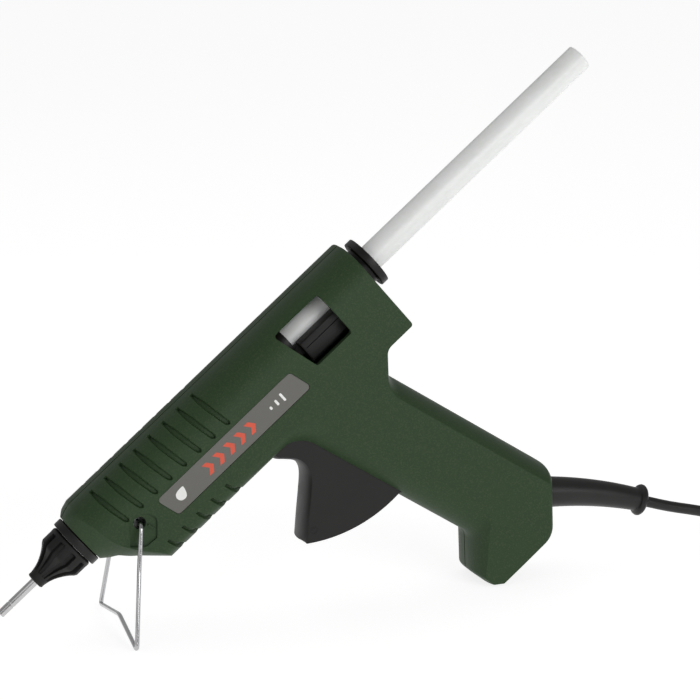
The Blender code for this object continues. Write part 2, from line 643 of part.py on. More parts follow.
def feed_tube():
    """Soft guide that carries the stick into the chamber, and the band that clamps it on."""
    wide = CHAMBER_SPIGOT_R + GAP
    narrow = STICK_R + STICK_PLAY
    outer = wide + FEED_TUBE_WALL
    step = CHAMBER_SPIGOT_END + GAP
    profile = [(FEED_TUBE_FRONT, wide), (FEED_TUBE_FRONT, outer), (FEED_TUBE_REAR - 6 * MM, outer),
               (FEED_TUBE_REAR, narrow + FEED_TUBE_WALL), (FEED_TUBE_REAR, narrow),
               (step, narrow), (step, wide)]
    finish("feed_tube", turned(profile, 28), SILICONE)
    inside = outer + GAP
    band_front = FEED_TUBE_FRONT + 2 * MM
    band = [(band_front, inside), (band_front, inside + BAND_THICK),
            (band_front + BAND_WIDTH, inside + BAND_THICK), (band_front + BAND_WIDTH, inside)]
    finish("tube_band", turned(band, 28), STEEL)


# ---- stick, inlet and feed ------------------------------------------------------------------------------------------

def glue_stick():
    bevel = 0.3 * MM
    profile = [(STICK_FRONT, STICK_R - bevel), (STICK_FRONT + bevel, STICK_R),
               (STICK_REAR - bevel, STICK_R), (STICK_REAR, STICK_R - bevel)]
    finish("glue_stick", turned(profile, 28, hollow=False), GLUE, (STICK_REAR, 0, 0))


def rear_collar():
    bore = STICK_R + STICK_PLAY
    back = COLLAR_FRONT + COLLAR_LENGTH
    keeper = BODY_REAR - WALL - GAP
    profile = [(back, bore + 0.8 * MM), (back, COLLAR_R - 0.5 * MM), (back - 0.5 * MM, COLLAR_R),
               (COLLAR_FRONT, COLLAR_R), (COLLAR_FRONT, COLLAR_NECK_R), (keeper, COLLAR_NECK_R),
               (keeper, COLLAR_KEEPER_R), (keeper - COLLAR_KEEPER, COLLAR_KEEPER_R),
               (keeper - COLLAR_KEEPER, bore), (back - 0.8 * MM, bore)]
    finish("rear_collar", turned(profile, 28), BLACK)


def bar_inner():
    """Where the carriage's drive bar begins, just outside the trigger's arm."""
    return TRIGGER_HALF + SWING


def carriage():
    """Block that cradles the stick, with a drive bar along the far side to the trigger's arm."""
    rear = CARRIAGE_FRONT + CARRIAGE_LENGTH
    block = finish("feed_carriage", box(CARRIAGE_FRONT, rear, -CARRIAGE_HALF, CARRIAGE_HALF,
                                        CARRIAGE_BOTTOM, CARRIAGE_TOP), BLACK, (CARRIAGE_FRONT, 0, 0))
    inner = bar_inner()
    bar = box(PIVOT_X - DRIVE_PIN_R - SWING - BAR_MARGIN, CARRIAGE_FRONT + 6 * MM, inner, inner + BAR_THICK,
              BAR_LOW, BAR_HIGH)
    join(block, finish("add_bar", bar, BLACK))
    channel = rod((CARRIAGE_FRONT - MM, 0, 0), (rear + MM, 0, 0), STICK_R + STICK_PLAY, 28)
    half_slot = DRIVE_PIN_R + SWING / 2
    drop = -PIVOT_Z * (1 - cos(TRIGGER_PULL))
    slot = box(PIVOT_X - half_slot, PIVOT_X + half_slot, inner - MM, inner + BAR_THICK + MM,
               -DRIVE_PIN_R - drop - SWING, DRIVE_PIN_R + SWING)
    half = JAW_HALF + GAP
    pocket = box(JAW_X - JAW_REACH - 2 * MM, JAW_X + JAW_R + MM, -half, half, CARRIAGE_BOTTOM - MM, 0.0)
    jaw_bore = rod((JAW_X, -9 * MM, JAW_Z), (JAW_X, 9 * MM, JAW_Z), JAW_PIN_R + RUNNING, 12)
    tools = ((channel, "channel"), (slot, "drive_slot"), (pocket, "jaw_pocket"), (jaw_bore, "jaw_bore"))
    cut(block, *[finish("cut_" + tag, bm, BLACK) for bm, tag in tools])


def jaw():
    """The toothed jaw under the stick, with its pin."""
    hub = [Vector((JAW_X, JAW_Z)) + JAW_R * Vector((cos(a), sin(a)))
           for a in (radians(-90 + 30 * k) for k in range(6))]
    tip = JAW_X - JAW_REACH
    high = -STICK_R - 1.2 * MM
    teeth = [(tip + 3.2 * MM, high - 0.9 * MM), (tip + 2.2 * MM, high), (tip + 1.4 * MM, high - 0.9 * MM),
             (tip + 0.4 * MM, high), (tip, high - 2.4 * MM)]
    outline = hub + [Vector(p) for p in teeth]
    jaw_obj = finish("grip_jaw", slab(outline, -JAW_HALF, JAW_HALF), STEEL, (JAW_X, 0, JAW_Z))
    bore = rod((JAW_X, -9 * MM, JAW_Z), (JAW_X, 9 * MM, JAW_Z), JAW_PIN_R + RUNNING, 12)
    cut(jaw_obj, finish("cut_jaw_hub", bore, STEEL))
    pin = rod((JAW_X, -8.5 * MM, JAW_Z), (JAW_X, 8.5 * MM, JAW_Z), JAW_PIN_R, 12)
    finish("jaw_pin", pin, STEEL, (JAW_X, 0, JAW_Z))


def trigger_outline():
    """Side view of the trigger, clockwise from the front of its hub."""
    pivot = Vector((PIVOT_X, PIVOT_Z))
    tip_angle, rear_angle = radians(229.5), radians(277.5)
    arc = [pivot + TRIGGER_ARC_R * Vector((cos(a), sin(a)))
           for a in (rear_angle + (tip_angle - rear_angle) * k / 9 for k in range(10))]
    front = [(81.2, -28.6), (83.0, -32.2), (86.0, -36.0), (87.2, -40.0), (86.6, -44.0), (84.4, -47.6)]
    hub = [pivot + TRIGGER_HUB_R * Vector((cos(a), sin(a)))
           for a in (radians(120 - 30 * k) for k in range(5))]
    outline = [Vector((PIVOT_X - 12 * MM, PIVOT_Z - 6 * MM))] + hub + arc
    shape = outline + [Vector((x * MM, z * MM)) for x, z in reversed(front)]
    return shape


def pin_half(extra=0.0):
    """Half the length of the trigger's pivot pin."""
    return HALF_WIDTH - WALL + extra


def trigger():
    blade = finish("trigger", slab(trigger_outline(), -TRIGGER_HALF, TRIGGER_HALF), BLACK,
                   (PIVOT_X, 0, PIVOT_Z))
    tip = DRIVE_PIN_R + 1.2 * MM
    arm_outline = [(PIVOT_X - ARM_HALF, PIVOT_Z), (PIVOT_X - ARM_HALF, tip), (PIVOT_X + ARM_HALF, tip),
                   (PIVOT_X + ARM_HALF, PIVOT_Z)]
    arm = slab(arm_outline, TRIGGER_HALF - ARM_THICK, TRIGGER_HALF)
    peg = rod((PIVOT_X, TRIGGER_HALF - MM, 0), (PIVOT_X, bar_inner() + BAR_THICK, 0), DRIVE_PIN_R, 16)
    join(blade, finish("add_arm", arm, BLACK), finish("add_peg", peg, BLACK))
    bore = rod((PIVOT_X, -HALF_WIDTH, PIVOT_Z), (PIVOT_X, HALF_WIDTH, PIVOT_Z), PIN_R + RUNNING)
    spring_seat = rod((spring_front() - 2 * MM, 0, SPRING_Z), (PIVOT_X + 30 * MM, 0, SPRING_Z),
                      SPRING_R + SPRING_WIRE_R + SWING)
    cut(blade, finish("cut_trigger_bore", bore, BLACK), finish("cut_spring_seat", spring_seat, BLACK))
    half = pin_half()
    finish("trigger_pin", rod((PIVOT_X, -half, PIVOT_Z), (PIVOT_X, half, PIVOT_Z), PIN_R), STEEL)


def spring_front():
    return PIVOT_X


def spring_rear():
    """Where the spring meets the back wall of the handle, at the spring's height."""
    slope = tan(HANDLE_RAKE)
    back = HANDLE_FRONT_X + HANDLE_DEPTH / cos(HANDLE_RAKE)
    return back + slope * (-BARREL_BELOW - SPRING_Z) - WALL / cos(HANDLE_RAKE)


def tube_through(name, points, radius, mat, resolution, parent=gun_frame):
    """A round tube along points, with closed ends."""
    curve = bpy.data.curves.new(name, "CURVE")
    curve.dimensions = "3D"
    curve.bevel_depth = radius
    curve.bevel_resolution = resolution
    curve.use_fill_caps = True
    spline = curve.splines.new("POLY")
    spline.points.add(len(points) - 1)
    for slot, p in zip(spline.points, points):
        slot.co = (*p, 1.0)
    curve.materials.append(mat)
    obj = bpy.data.objects.new(name, curve)
    bpy.context.scene.collection.objects.link(obj)
    obj.parent = parent
    return obj


def smooth_route(points, step):
    """Points every step along a Catmull-Rom curve through the given ones."""
    pts = [Vector(p) for p in points]
    ends = [2 * pts[0] - pts[1]] + pts + [2 * pts[-1] - pts[-2]]
    fine = []
    per_span = 24
    for a, b, c, d in zip(ends, ends[1:], ends[2:], ends[3:]):
        for k in range(per_span):
            t = k / per_span
            fine.append(0.5 * (2 * b + (c - a) * t + (2 * a - 5 * b + 4 * c - d) * t * t
                               + (3 * b - a - 3 * c + d) * t ** 3))
    fine.append(pts[-1])
    total = sum((q - p).length for p, q in zip(fine, fine[1:]))
    count = max(2, round(total / step))
    spacing = total / count
    route = [fine[0]]
    walked = 0.0
    for p, q in zip(fine, fine[1:]):
        walked += (q - p).length
        while len(route) < count and walked >= spacing * len(route):
            over = walked - spacing * len(route)
            route.append(q + (p - q).normalized() * over)
    route.append(fine[-1])
    return route


def return_spring():
    start = spring_front() - 1.2 * MM + GAP
    end = spring_rear() - GAP - SPRING_WIRE_R
    sides = 8
    steps = SPRING_TURNS * sides
    points = []
    for k in range(steps + 1):
        a = 2 * pi * k / sides
        x = start + SPRING_WIRE_R + (end - start - SPRING_WIRE_R) * k / steps
        points.append(Vector((x, SPRING_R * cos(a), SPRING_Z + SPRING_R * sin(a))))
    tube_through("return_spring", points, SPRING_WIRE_R, STEEL, 1)


# ---- stand --------------------------------------------------------------------------------------------------------

def rounded_path(points, radius, steps=4):
    """A path with each inner corner replaced by a short curve."""
    pts = [Vector(p) for p in points]
    path = [pts[0]]
    for before, corner, after in zip(pts, pts[1:], pts[2:]):
        back = min(radius, (before - corner).length / 2.2, (after - corner).length / 2.2)
        p = corner + (before - corner).normalized() * back
        q = corner + (after - corner).normalized() * back
        for k in range(steps + 1):
            t = k / steps
            path.append((1 - t) ** 2 * p + 2 * t * (1 - t) * corner + t * t * q)
    path.append(pts[-1])
    return path


def stand_path(leg):
    """The bent wire laid flat: x is the reach from its pivot, y is across the gun.

    The bends at the feet fall short of the corner they round, so leg is the corner's reach.
    """
    half = [(0.0, STAND_INNER, 0.0), (0.0, HALF_WIDTH + STAND_OUT, 0.0),
            (STAND_KNEE, STAND_KNEE_OUT, 0.0), (leg, STAND_FOOT_OUT, 0.0)]
    mirrored = [(x, -y, z) for x, y, z in half]
    return rounded_path(half + [(STAND_APEX, 0.0, 0.0)] + mirrored[::-1], STAND_BEND)


def wire_stand():
    path = stand_path(2 * STAND_LEG - max(p.x for p in stand_path(STAND_LEG)))
    along = Vector((cos(STAND_OPEN), 0.0, sin(STAND_OPEN)))
    stand = tube_through("wire_stand", [p.x * along + Vector((0.0, p.y, 0.0)) for p in path],
                         STAND_WIRE_R, CHROME, 2)
    stand.location = (STAND_X, 0.0, STAND_Z)


# ---- screws -----------------------------------------------------------------------------------------------------

def screws():
    for i, (x, z) in enumerate(SCREW_PLACES):
        seat = SCREW_SEAT + GAP
        end = seat - SCREW_LENGTH
        rings = [(end, SCREW_R), (seat, SCREW_R), (seat, SCREW_HEAD_R), (seat + SCREW_HEAD, SCREW_HEAD_R)]
        across, over = Vector((1, 0, 0)), Vector((0, 0, 1))
        body = loft([circle(Vector((x, y, z)), across, over, r, 16) for y, r in rings])
        finish(f"casing_screw_{i + 1}", body, STEEL)


# ---- cord end in the handle -----------------------------------------------------------------------------------------

def exit_vector(distance, rise=0.0, across=0.0):
    """A vector in the gun frame: along the cord's way out, up in the world, and across."""
    p = BACK * distance + UP * rise
    return Vector((p.x, across, p.y))


def to_gun_exit(across):
    return Vector((EXIT_X, across, EXIT_Z))


def relief_line(distance):
    """Centre and direction of the strain relief, which droops evenly along its length."""
    bend = RELIEF_DROOP * max(distance, 0.0) / RELIEF_LENGTH
    mean = bend / 2
    centre = to_gun_exit(0.0) + exit_vector(distance * cos(mean), -max(distance, 0.0) * sin(mean))
    return centre, exit_vector(cos(bend), -sin(bend))


def strain_relief():
    inner = -WALL - 3.0 * MM
    body = RELIEF_LENGTH - BEAD_LENGTH
    stations = [(inner - RELIEF_FLANGE, RELIEF_FLANGE_R), (inner, RELIEF_FLANGE_R), (inner, RELIEF_NECK_R),
                (GAP, RELIEF_NECK_R), (GAP, RELIEF_ROOT_R)]
    for k in range(1, 6):
        t = k / 5
        stations.append((GAP + (body - GAP) * t, RELIEF_ROOT_R + (RELIEF_END_R - RELIEF_ROOT_R) * t))
    stations += [(body, BEAD_R - 0.6 * MM), (body + 0.6 * MM, BEAD_R),
                 (RELIEF_LENGTH - 0.8 * MM, BEAD_R), (RELIEF_LENGTH, BEAD_R - 0.8 * MM)]
    across = Vector((0, 1, 0))
    rings = []
    for distance, radius in stations:
        centre, along = relief_line(distance)
        rings.append(circle(centre, across, along.cross(across), radius, 16))
    finish("strain_relief", loft(rings), RUBBER)


def clamp_centre():
    return to_gun_exit(0.0) + exit_vector(-(WALL + 3.0 * MM + RELIEF_FLANGE) - CLAMP_AT)


def clamp_screw_places():
    centre = clamp_centre()
    return [tuple((centre + exit_vector(0.0, s * CLAMP_SCREW_OUT)).xz) for s in (-1, 1)]


def cord_inside():
    """The end of the cord in the handle, its clamp, and the two leads to the heater."""
    start = to_gun_exit(0.0) + exit_vector(-(WALL + 3.0 * MM + RELIEF_FLANGE) - GAP)
    end = start + exit_vector(-CORD_STUB)
    finish("cord_inner", rod(start, end, CORD_R, 16), RUBBER)
    centre = clamp_centre()
    low, high = GAP / 2, CORD_R + GAP + CLAMP_THICK
    foot = CORD_R + 2.5 * MM
    half = CLAMP_HALF_SPAN
    outline = [(-half, low), (-half, high), (half, high), (half, low), (foot, low),
               (foot, CORD_R + GAP), (-foot, CORD_R + GAP), (-foot, low)]
    rings = [[centre + exit_vector(d, up, y) for up, y in outline] for d in (-CLAMP_WIDTH / 2, CLAMP_WIDTH / 2)]
    clamp = finish("cord_clamp", loft(rings), BLACK)
    for i, (x, z) in enumerate(clamp_screw_places()):
        hole = rod((x, -MM, z), (x, high + MM, z), 1.4 * MM + RUNNING)
        cut(clamp, finish(f"cut_clamp_{i}", hole, BLACK))
        bore = rod((x, MM, z), (x, -7.5 * MM, z), 1.4 * MM + RUNNING)
        cut(bpy.data.objects["casing_near"], finish(f"cut_clamp_boss_{i}", bore, GREEN))
        across, over = Vector((1, 0, 0)), Vector((0, 0, 1))
        seat = high + GAP
        rings = [(-6.8 * MM, 1.4 * MM), (seat, 1.4 * MM), (seat, 2.5 * MM), (seat + 1.6 * MM, 2.5 * MM)]
        screw = loft([circle(Vector((x, y, z)), across, over, r, 14) for y, r in rings])
        finish(f"clamp_screw_{i + 1}", screw, STEEL)
    for side, name in ((-1, "lead_live"), (1, "lead_neutral")):
        leave = end + exit_vector(-GAP - LEAD_R, 0.0, side * 1.3 * MM)
        z = HEATER_TOP - GAP - CONTACT_THICK / 2
        if side > 0:
            z -= CONTACT_THICK + HEATER_THICK + 2 * GAP
        spine = [(TAB_REAR + GAP + LEAD_R, side * 4.0 * MM, z),
                 (69 * MM, side * 8.4 * MM, -12.6 * MM), (78 * MM, side * 11.4 * MM, -16.6 * MM),
                 (93 * MM, side * 10.6 * MM, -20.2 * MM), (103 * MM, side * 10.2 * MM, -21.7 * MM),
                 (110 * MM, side * 10.6 * MM, -25.0 * MM),
                 (116 * MM, side * 11.4 * MM, -34 * MM), (121 * MM, side * 11.4 * MM, -52 * MM),
                 (126 * MM, side * 11.4 * MM, -74 * MM), (129 * MM, side * 10.0 * MM, -94 * MM),
                 (131 * MM, side * 5.0 * MM, -105 * MM), tuple(leave)]
        tube_through(name, smooth_route(spine, 5 * MM), LEAD_R, INSULATION, 1)


# ---- free cord, coil and plug: world places -----------------------------------------------------------------------------

RELIEF_END = to_world(*relief_line(RELIEF_LENGTH)[0])
COIL_CENTRE = Vector((RELIEF_END.x + 92 * MM, -(COIL_MEAN_R + 1.5 * 2 * CORD_R), 0.0))
COIL_HALF_BAND = COIL_TURNS_PER_LAYER * CORD_R
COIL_OUTER = COIL_MEAN_R + COIL_HALF_BAND
COIL_INNER = COIL_MEAN_R - COIL_HALF_BAND
OUTER_TURN = COIL_OUTER - CORD_R
LOW_LAYER = COIL_LIFT + CORD_R


def free_cord():
    """From the strain relief down to the floor and up to the side of the coil."""
    end = RELIEF_END
    steep = tan(RELIEF_DROOP)
    first = end + Vector((GAP, 0.0, -GAP * steep))
    y = COIL_CENTRE.y + OUTER_TURN
    stop = sqrt((COIL_OUTER + GAP) ** 2 - (OUTER_TURN - CORD_R) ** 2) + MM
    spine = [first, (end.x + 12 * MM, 0.0, end.z - 3.6 * MM), (end.x + 26 * MM, 0.0, end.z - 8.3 * MM),
             (end.x + 41 * MM, 0.2 * MM, end.z - 14.8 * MM), (end.x + 54 * MM, 0.3 * MM, end.z - 20.6 * MM),
             (end.x + 67 * MM, 0.2 * MM, LOW_LAYER + 0.9 * MM), (COIL_CENTRE.x - stop, y, LOW_LAYER)]
    tube_through("mains_cord", smooth_route(spine, 9 * MM), CORD_R, RUBBER, 2, None)


def coil():
    profile = [(COIL_INNER, COIL_LIFT), (COIL_OUTER, COIL_LIFT), (COIL_OUTER, COIL_LIFT + 4 * CORD_R),
               (COIL_INNER, COIL_LIFT + 4 * CORD_R)]
    up, across, over = Vector((0, 0, 1)), Vector((1, 0, 0)), Vector((0, 1, 0))
    rings = [circle(COIL_CENTRE + up * z, across, over, r, 32) for r, z in profile]
    finish("cord_coil", loft(rings, closed=True), RUBBER, COIL_CENTRE, None)


def tail_point(turn, radius, z):
    """A point on the coil; turn runs clockwise from the side where the cord comes in."""
    a = pi / 2 - turn
    return COIL_CENTRE + Vector((radius * cos(a), radius * sin(a), z))


COIL_TOP = COIL_LIFT + 4 * CORD_R
PLUG_REAR = COIL_CENTRE + Vector((14 * MM, -20 * MM, COIL_TOP + GAP + PLUG_HALF_THICK))


def cord_tail():
    """The last stretch, over the top of the coil to the plug that lies on it."""
    top = COIL_TOP + GAP + CORD_R
    spine = [tail_point(radians(turn), OUTER_TURN - inwards * MM, top + rise * MM)
             for turn, inwards, rise in ((-38, 0.0, 0.0), (-10, 0.3, 0.0), (20, 1.0, 0.0), (50, 1.9, 0.0),
                                         (80, 2.2, 0.6))]
    spine += [COIL_CENTRE + Vector((x, y, z)) * MM
              for x, y, z in ((31.0, -3.0, 13.9), (29.3, -11.0, 15.2), (24.5, -17.4, 16.6))]
    spine += [PLUG_REAR + Vector((x, 0.0, 0.0)) for x in (4.5 * MM, 2.5 * GAP)]
    tube_through("cord_tail", smooth_route(spine, 9 * MM), CORD_R, RUBBER, 2, None)


def plug():
    """Flat two-pin plug; its pins point back towards the gun."""
    stations = ((0.0, 3.6, 3.4), (6.0, 4.6, 4.4), (12.0, 9.4, 6.2), (17.0, 12.4, 7.0), (33.0, 13.0, 7.0),
                (36.0, 12.0, 6.2))
    rings = []
    for x, half_wide, half_thick in stations:
        wide = half_wide * MM * PLUG_HALF_WIDTH / (13.0 * MM)
        thick = half_thick * MM * PLUG_HALF_THICK / (7.0 * MM)
        along = x * MM * PLUG_LENGTH / (36.0 * MM)
        rounding = min(wide, thick) * 0.7
        section = fillet([Vector((-wide, -thick)), Vector((-wide, thick)), Vector((wide, thick)),
                          Vector((wide, -thick))], [rounding] * 4, radians(30))
        rings.append([PLUG_REAR + Vector((-along, p.x, p.y)) for p in section])
    body = finish("plug_body", loft(rings), RUBBER, PLUG_REAR, None)
    face = PLUG_REAR.x - PLUG_LENGTH
    for side, name in ((-1, "plug_pin_a"), (1, "plug_pin_b")):
        y, z = PLUG_REAR.y + side * PLUG_PIN_OUT, PLUG_REAR.z
        socket = rod((face + 4 * MM, y, z), (face - MM, y, z), PLUG_PIN_R + RUNNING, 20)
        cut(body, finish("cut_" + name, socket, RUBBER, PLUG_REAR, None))
        pin = rod((face + 4 * MM - GAP, y, z), (face - PLUG_PIN_LENGTH, y, z), PLUG_PIN_R, 20)
        finish(name, pin, STEEL, PLUG_REAR, None)


def cord_tie():
    """A strap round the coil's turns, on the side away from the gun."""
    def frame(grow):
        return [(COIL_INNER - grow, COIL_LIFT - grow), (COIL_OUTER + grow, COIL_LIFT - grow),
                (COIL_OUTER + grow, COIL_LIFT + 4 * CORD_R + grow), (COIL_INNER - grow, COIL_LIFT + 4 * CORD_R + grow)]
    half = TIE_WIDTH / 2
    slack = GAP + COIL_OUTER - sqrt(COIL_OUTER ** 2 - half ** 2)
    loops = []
    for grow, y in ((slack, -half), (slack + TIE_THICK, -half), (slack + TIE_THICK, half), (slack, half)):
        lift = min(grow, COIL_LIFT)
        ring = [(r, max(z, COIL_LIFT - lift)) for r, z in frame(grow)]
        loops.append([COIL_CENTRE + Vector((-r, y, z)) for r, z in ring])
    finish("cord_tie", loft(loops, closed=True), BLACK, COIL_CENTRE, None)


casing(-1, "casing_near")
casing(1, "casing_far")
label()
nose_ring()
nozzle_sleeve()
nozzle()
melt_chamber()
heater()
feed_tube()
glue_stick()
rear_collar()
carriage()
jaw()
trigger()
return_spring()
wire_stand()
screws()
strain_relief()
cord_inside()
free_cord()
coil()
cord_tail()
cord_tie()
plug()
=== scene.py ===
import json
from math import ceil, cos, pi, radians, sin, sqrt, tan

import bmesh
import bpy
from bpy.props import FloatProperty, FloatVectorProperty, IntProperty, PointerProperty
from mathutils import Matrix, Vector


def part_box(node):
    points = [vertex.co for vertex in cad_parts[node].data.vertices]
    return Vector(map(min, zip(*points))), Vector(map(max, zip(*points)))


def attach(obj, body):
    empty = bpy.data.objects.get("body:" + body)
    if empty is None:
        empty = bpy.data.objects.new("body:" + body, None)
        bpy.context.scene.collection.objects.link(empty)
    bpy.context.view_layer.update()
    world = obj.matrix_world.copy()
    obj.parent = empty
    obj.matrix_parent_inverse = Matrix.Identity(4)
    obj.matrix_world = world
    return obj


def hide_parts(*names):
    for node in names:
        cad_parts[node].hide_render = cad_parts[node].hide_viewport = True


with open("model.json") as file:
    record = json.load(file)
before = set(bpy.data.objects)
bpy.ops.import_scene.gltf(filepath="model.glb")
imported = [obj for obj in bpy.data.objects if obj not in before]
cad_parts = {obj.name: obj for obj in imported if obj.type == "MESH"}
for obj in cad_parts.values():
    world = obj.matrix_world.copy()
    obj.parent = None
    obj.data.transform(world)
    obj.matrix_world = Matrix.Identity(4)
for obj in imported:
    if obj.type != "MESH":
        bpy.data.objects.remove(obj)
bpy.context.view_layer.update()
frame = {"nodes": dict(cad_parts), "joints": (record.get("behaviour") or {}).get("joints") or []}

bl_info = {
    "name": "Glue Gun",
    "version": (1, 0, 0),
    "blender": (4, 5, 0),
    "location": "View3D > Sidebar > Glue Gun",
    "description": "Builds a hot-melt glue gun on its wire stand around its fixed frame",
    "category": "Object",
}

MM = 0.001
GAP = 0.3 * MM

# ---- the gun's own frame: x back along the barrel, y across, z up from the glue stick's axis

JOINTS = {joint["name"]: joint for joint in frame["joints"]}
BACK = -Vector(JOINTS["stick_feed"]["axis"]).normalized()
UP = BACK.cross(Vector((0.0, 1.0, 0.0)))
PIVOT = Vector((102.9, 0.0, -16.4)) * MM
TURN = Matrix((BACK, (0.0, 1.0, 0.0), UP)).transposed()
ORIGIN = Vector(JOINTS["trigger_pull"]["pos_m"]) - TURN @ PIVOT
GUN = Matrix.Translation(ORIGIN) @ TURN.to_4x4()
WORLD_TO_GUN = GUN.inverted()
LEVEL = Vector((BACK.x, -BACK.z))  # the world's +x and its up, as (x, z) of the gun frame
PLUMB = Vector((BACK.z, BACK.x))
RAKE = Vector((sin(radians(17.2)), -cos(radians(17.2))))  # down the front of the handle
ACROSS = Vector((-RAKE.y, RAKE.x))                        # from its front to its rear
GRIP = Vector((91.6, -27.4)) * MM                         # where that front meets the barrel's underside
BARREL_LOW = 29.2 * MM
BODY_REAR = 155.5 * MM
IDENTITY = Matrix.Identity(4)


# ---- settings

class CasingSettings(bpy.types.PropertyGroup):
    half_width: FloatProperty(name="Half width", description="Middle plane to each flat side",
                              default=0.0175, unit="LENGTH")
    crown: FloatProperty(name="Crown", description="Half of the level strip along the joint of the halves",
                         default=0.0025, unit="LENGTH")
    wall: FloatProperty(name="Wall", description="Thickness of the moulded casing", default=0.0025,
                        unit="LENGTH")
    seam: FloatProperty(name="Seam", description="Gap between the two halves", default=0.0006, unit="LENGTH")
    slot_pitch: FloatProperty(name="Slot pitch", description="Distance from one cooling slot to the next",
                              default=0.00767, unit="LENGTH")
    slots: IntProperty(name="Slots", description="Cooling slots on each shoulder", default=8)
    grooves: IntProperty(name="Grooves", description="Grooves on each lower edge", default=5)


class NozzleSettings(bpy.types.PropertyGroup):
    fins: IntProperty(name="Fins", description="Ribs round the heat-proof sleeve", default=10)
    tube_radius: FloatProperty(name="Tube radius", description="Outer radius of the steel nozzle tube",
                               default=0.00165, unit="LENGTH")
    tube_tip: FloatProperty(name="Tube length", description="From the nose ring's face to the tip",
                            default=0.0388, unit="LENGTH")


class StickSettings(bpy.types.PropertyGroup):
    radius: FloatProperty(name="Radius", description="Radius of the glue stick", default=0.0055,
                          unit="LENGTH")
    front: FloatProperty(name="Front", description="Where the stick starts in the melting chamber",
                         default=0.030, unit="LENGTH")
    rear: FloatProperty(name="Rear", description="Where the stick ends behind the gun", default=0.2785,
                        unit="LENGTH")


class StandSettings(bpy.types.PropertyGroup):
    wire_radius: FloatProperty(name="Wire radius", description="Radius of the stand's wire", default=0.0009,
                               unit="LENGTH")
    leg: FloatProperty(name="Leg", description="Reach of each foot from the pivot", default=0.0462,
                       unit="LENGTH")


class CordSettings(bpy.types.PropertyGroup):
    radius: FloatProperty(name="Radius", description="Radius of the mains cord", default=0.0023,
                          unit="LENGTH")
    turns: IntProperty(name="Turns", description="Turns in each layer of the coil", default=4)


class ColourSettings(bpy.types.PropertyGroup):
    casing: FloatVectorProperty(name="Casing", description="Moulded casing halves", subtype="COLOR",
                                default=(0.0205, 0.0440, 0.0165))
    casing_fleck: FloatVectorProperty(name="Casing fleck", description="Lighter grain of the casing",
                                      subtype="COLOR", default=(0.040, 0.060, 0.026))
    black: FloatVectorProperty(name="Black parts", description="Trigger, collar and nose ring",
                               subtype="COLOR", default=(0.0075, 0.0069, 0.0065))
    stick: FloatVectorProperty(name="Glue", description="Hot-melt glue", subtype="COLOR",
                               default=(0.80, 0.81, 0.80))
    label: FloatVectorProperty(name="Label", description="Label strip", subtype="COLOR",
                               default=(0.112, 0.110, 0.098))
    accent: FloatVectorProperty(name="Accent", description="Chevrons printed on the label", subtype="COLOR",
                                default=(0.62, 0.075, 0.035))


class StageSettings(bpy.types.PropertyGroup):
    distance: FloatProperty(name="Camera distance", description="From the camera to the gun", default=1.0,
                            unit="LENGTH")
    lens: FloatProperty(name="Lens", description="Focal length in millimetres", default=129.6)
    floor_size: FloatProperty(name="Floor size", description="Side of the pale floor", default=14.0,
                              unit="LENGTH")


SETTINGS = {"gg_casing": CasingSettings, "gg_nozzle": NozzleSettings, "gg_stick": StickSettings,
            "gg_stand": StandSettings, "gg_cord": CordSettings, "gg_colours": ColourSettings,
            "gg_stage": StageSettings}


# ---- mesh tools

def ring_edges(bm, points):
    verts = [bm.verts.new(p) for p in points]
    return [bm.edges.new(pair) for pair in zip(verts, verts[1:] + verts[:1])]


def loft(rings, closed=False):
    """A solid bridged through rings of points, filled at both ends unless it closes on itself."""
    bm = bmesh.new()
    loops = [ring_edges(bm, ring) for ring in rings]
    pairs = list(zip(loops, loops[1:]))
    if closed:
        pairs.append((loops[-1], loops[0]))
    for one, other in pairs:
        bmesh.ops.bridge_loops(bm, edges=one + other)
    if not closed:
        for loop in (loops[0], loops[-1]):
            bmesh.ops.contextual_create(bm, geom=loop)
    bmesh.ops.recalc_face_normals(bm, faces=bm.faces)
    return bm


def circle(centre, across, over, radius, sides):
    return [centre + radius * (cos(a) * across + sin(a) * over)
            for a in (2 * pi * i / sides for i in range(sides))]


def rod(start, end, radius, sides=32):
    start, end = Vector(start), Vector(end)
    across = (end - start).normalized().orthogonal().normalized()
    over = (end - start).normalized().cross(across)
    return loft([circle(p, across, over, radius, sides) for p in (start, end)])


def spun(profile, sides, axis=(1, 0, 0), centre=(0, 0, 0)):
    """A closed outline of (along, radius) points, spun about the axis."""
    bm = bmesh.new()
    axis = Vector(axis)
    out = axis.orthogonal().normalized()
    ring_edges(bm, [Vector(centre) + axis * x + out * r for x, r in profile])
    bmesh.ops.spin(bm, geom=bm.verts[:] + bm.edges[:], cent=centre, axis=axis, angle=2 * pi,
                   steps=sides, use_merge=True)
    bmesh.ops.remove_doubles(bm, verts=bm.verts, dist=1e-6)
    bmesh.ops.dissolve_degenerate(bm, dist=1e-7, edges=bm.edges)
    bmesh.ops.recalc_face_normals(bm, faces=bm.faces)
    return bm


def slab(points, low, high):
    """An outline of (x, z) points, extruded from y = low to y = high."""
    bm = bmesh.new()
    edges = ring_edges(bm, [Vector((x, low, z)) for x, z in points])
    face = bmesh.ops.contextual_create(bm, geom=edges)["faces"]
    grown = bmesh.ops.extrude_face_region(bm, geom=face)["geom"]
    new = [g for g in grown if isinstance(g, bmesh.types.BMVert)]
    bmesh.ops.translate(bm, vec=(0, high - low, 0), verts=new)
    bmesh.ops.recalc_face_normals(bm, faces=bm.faces)
    return bm


def box(x0, x1, y0, y1, z0, z1):
    return slab([(x0, z0), (x0, z1), (x1, z1), (x1, z0)], y0, y1)


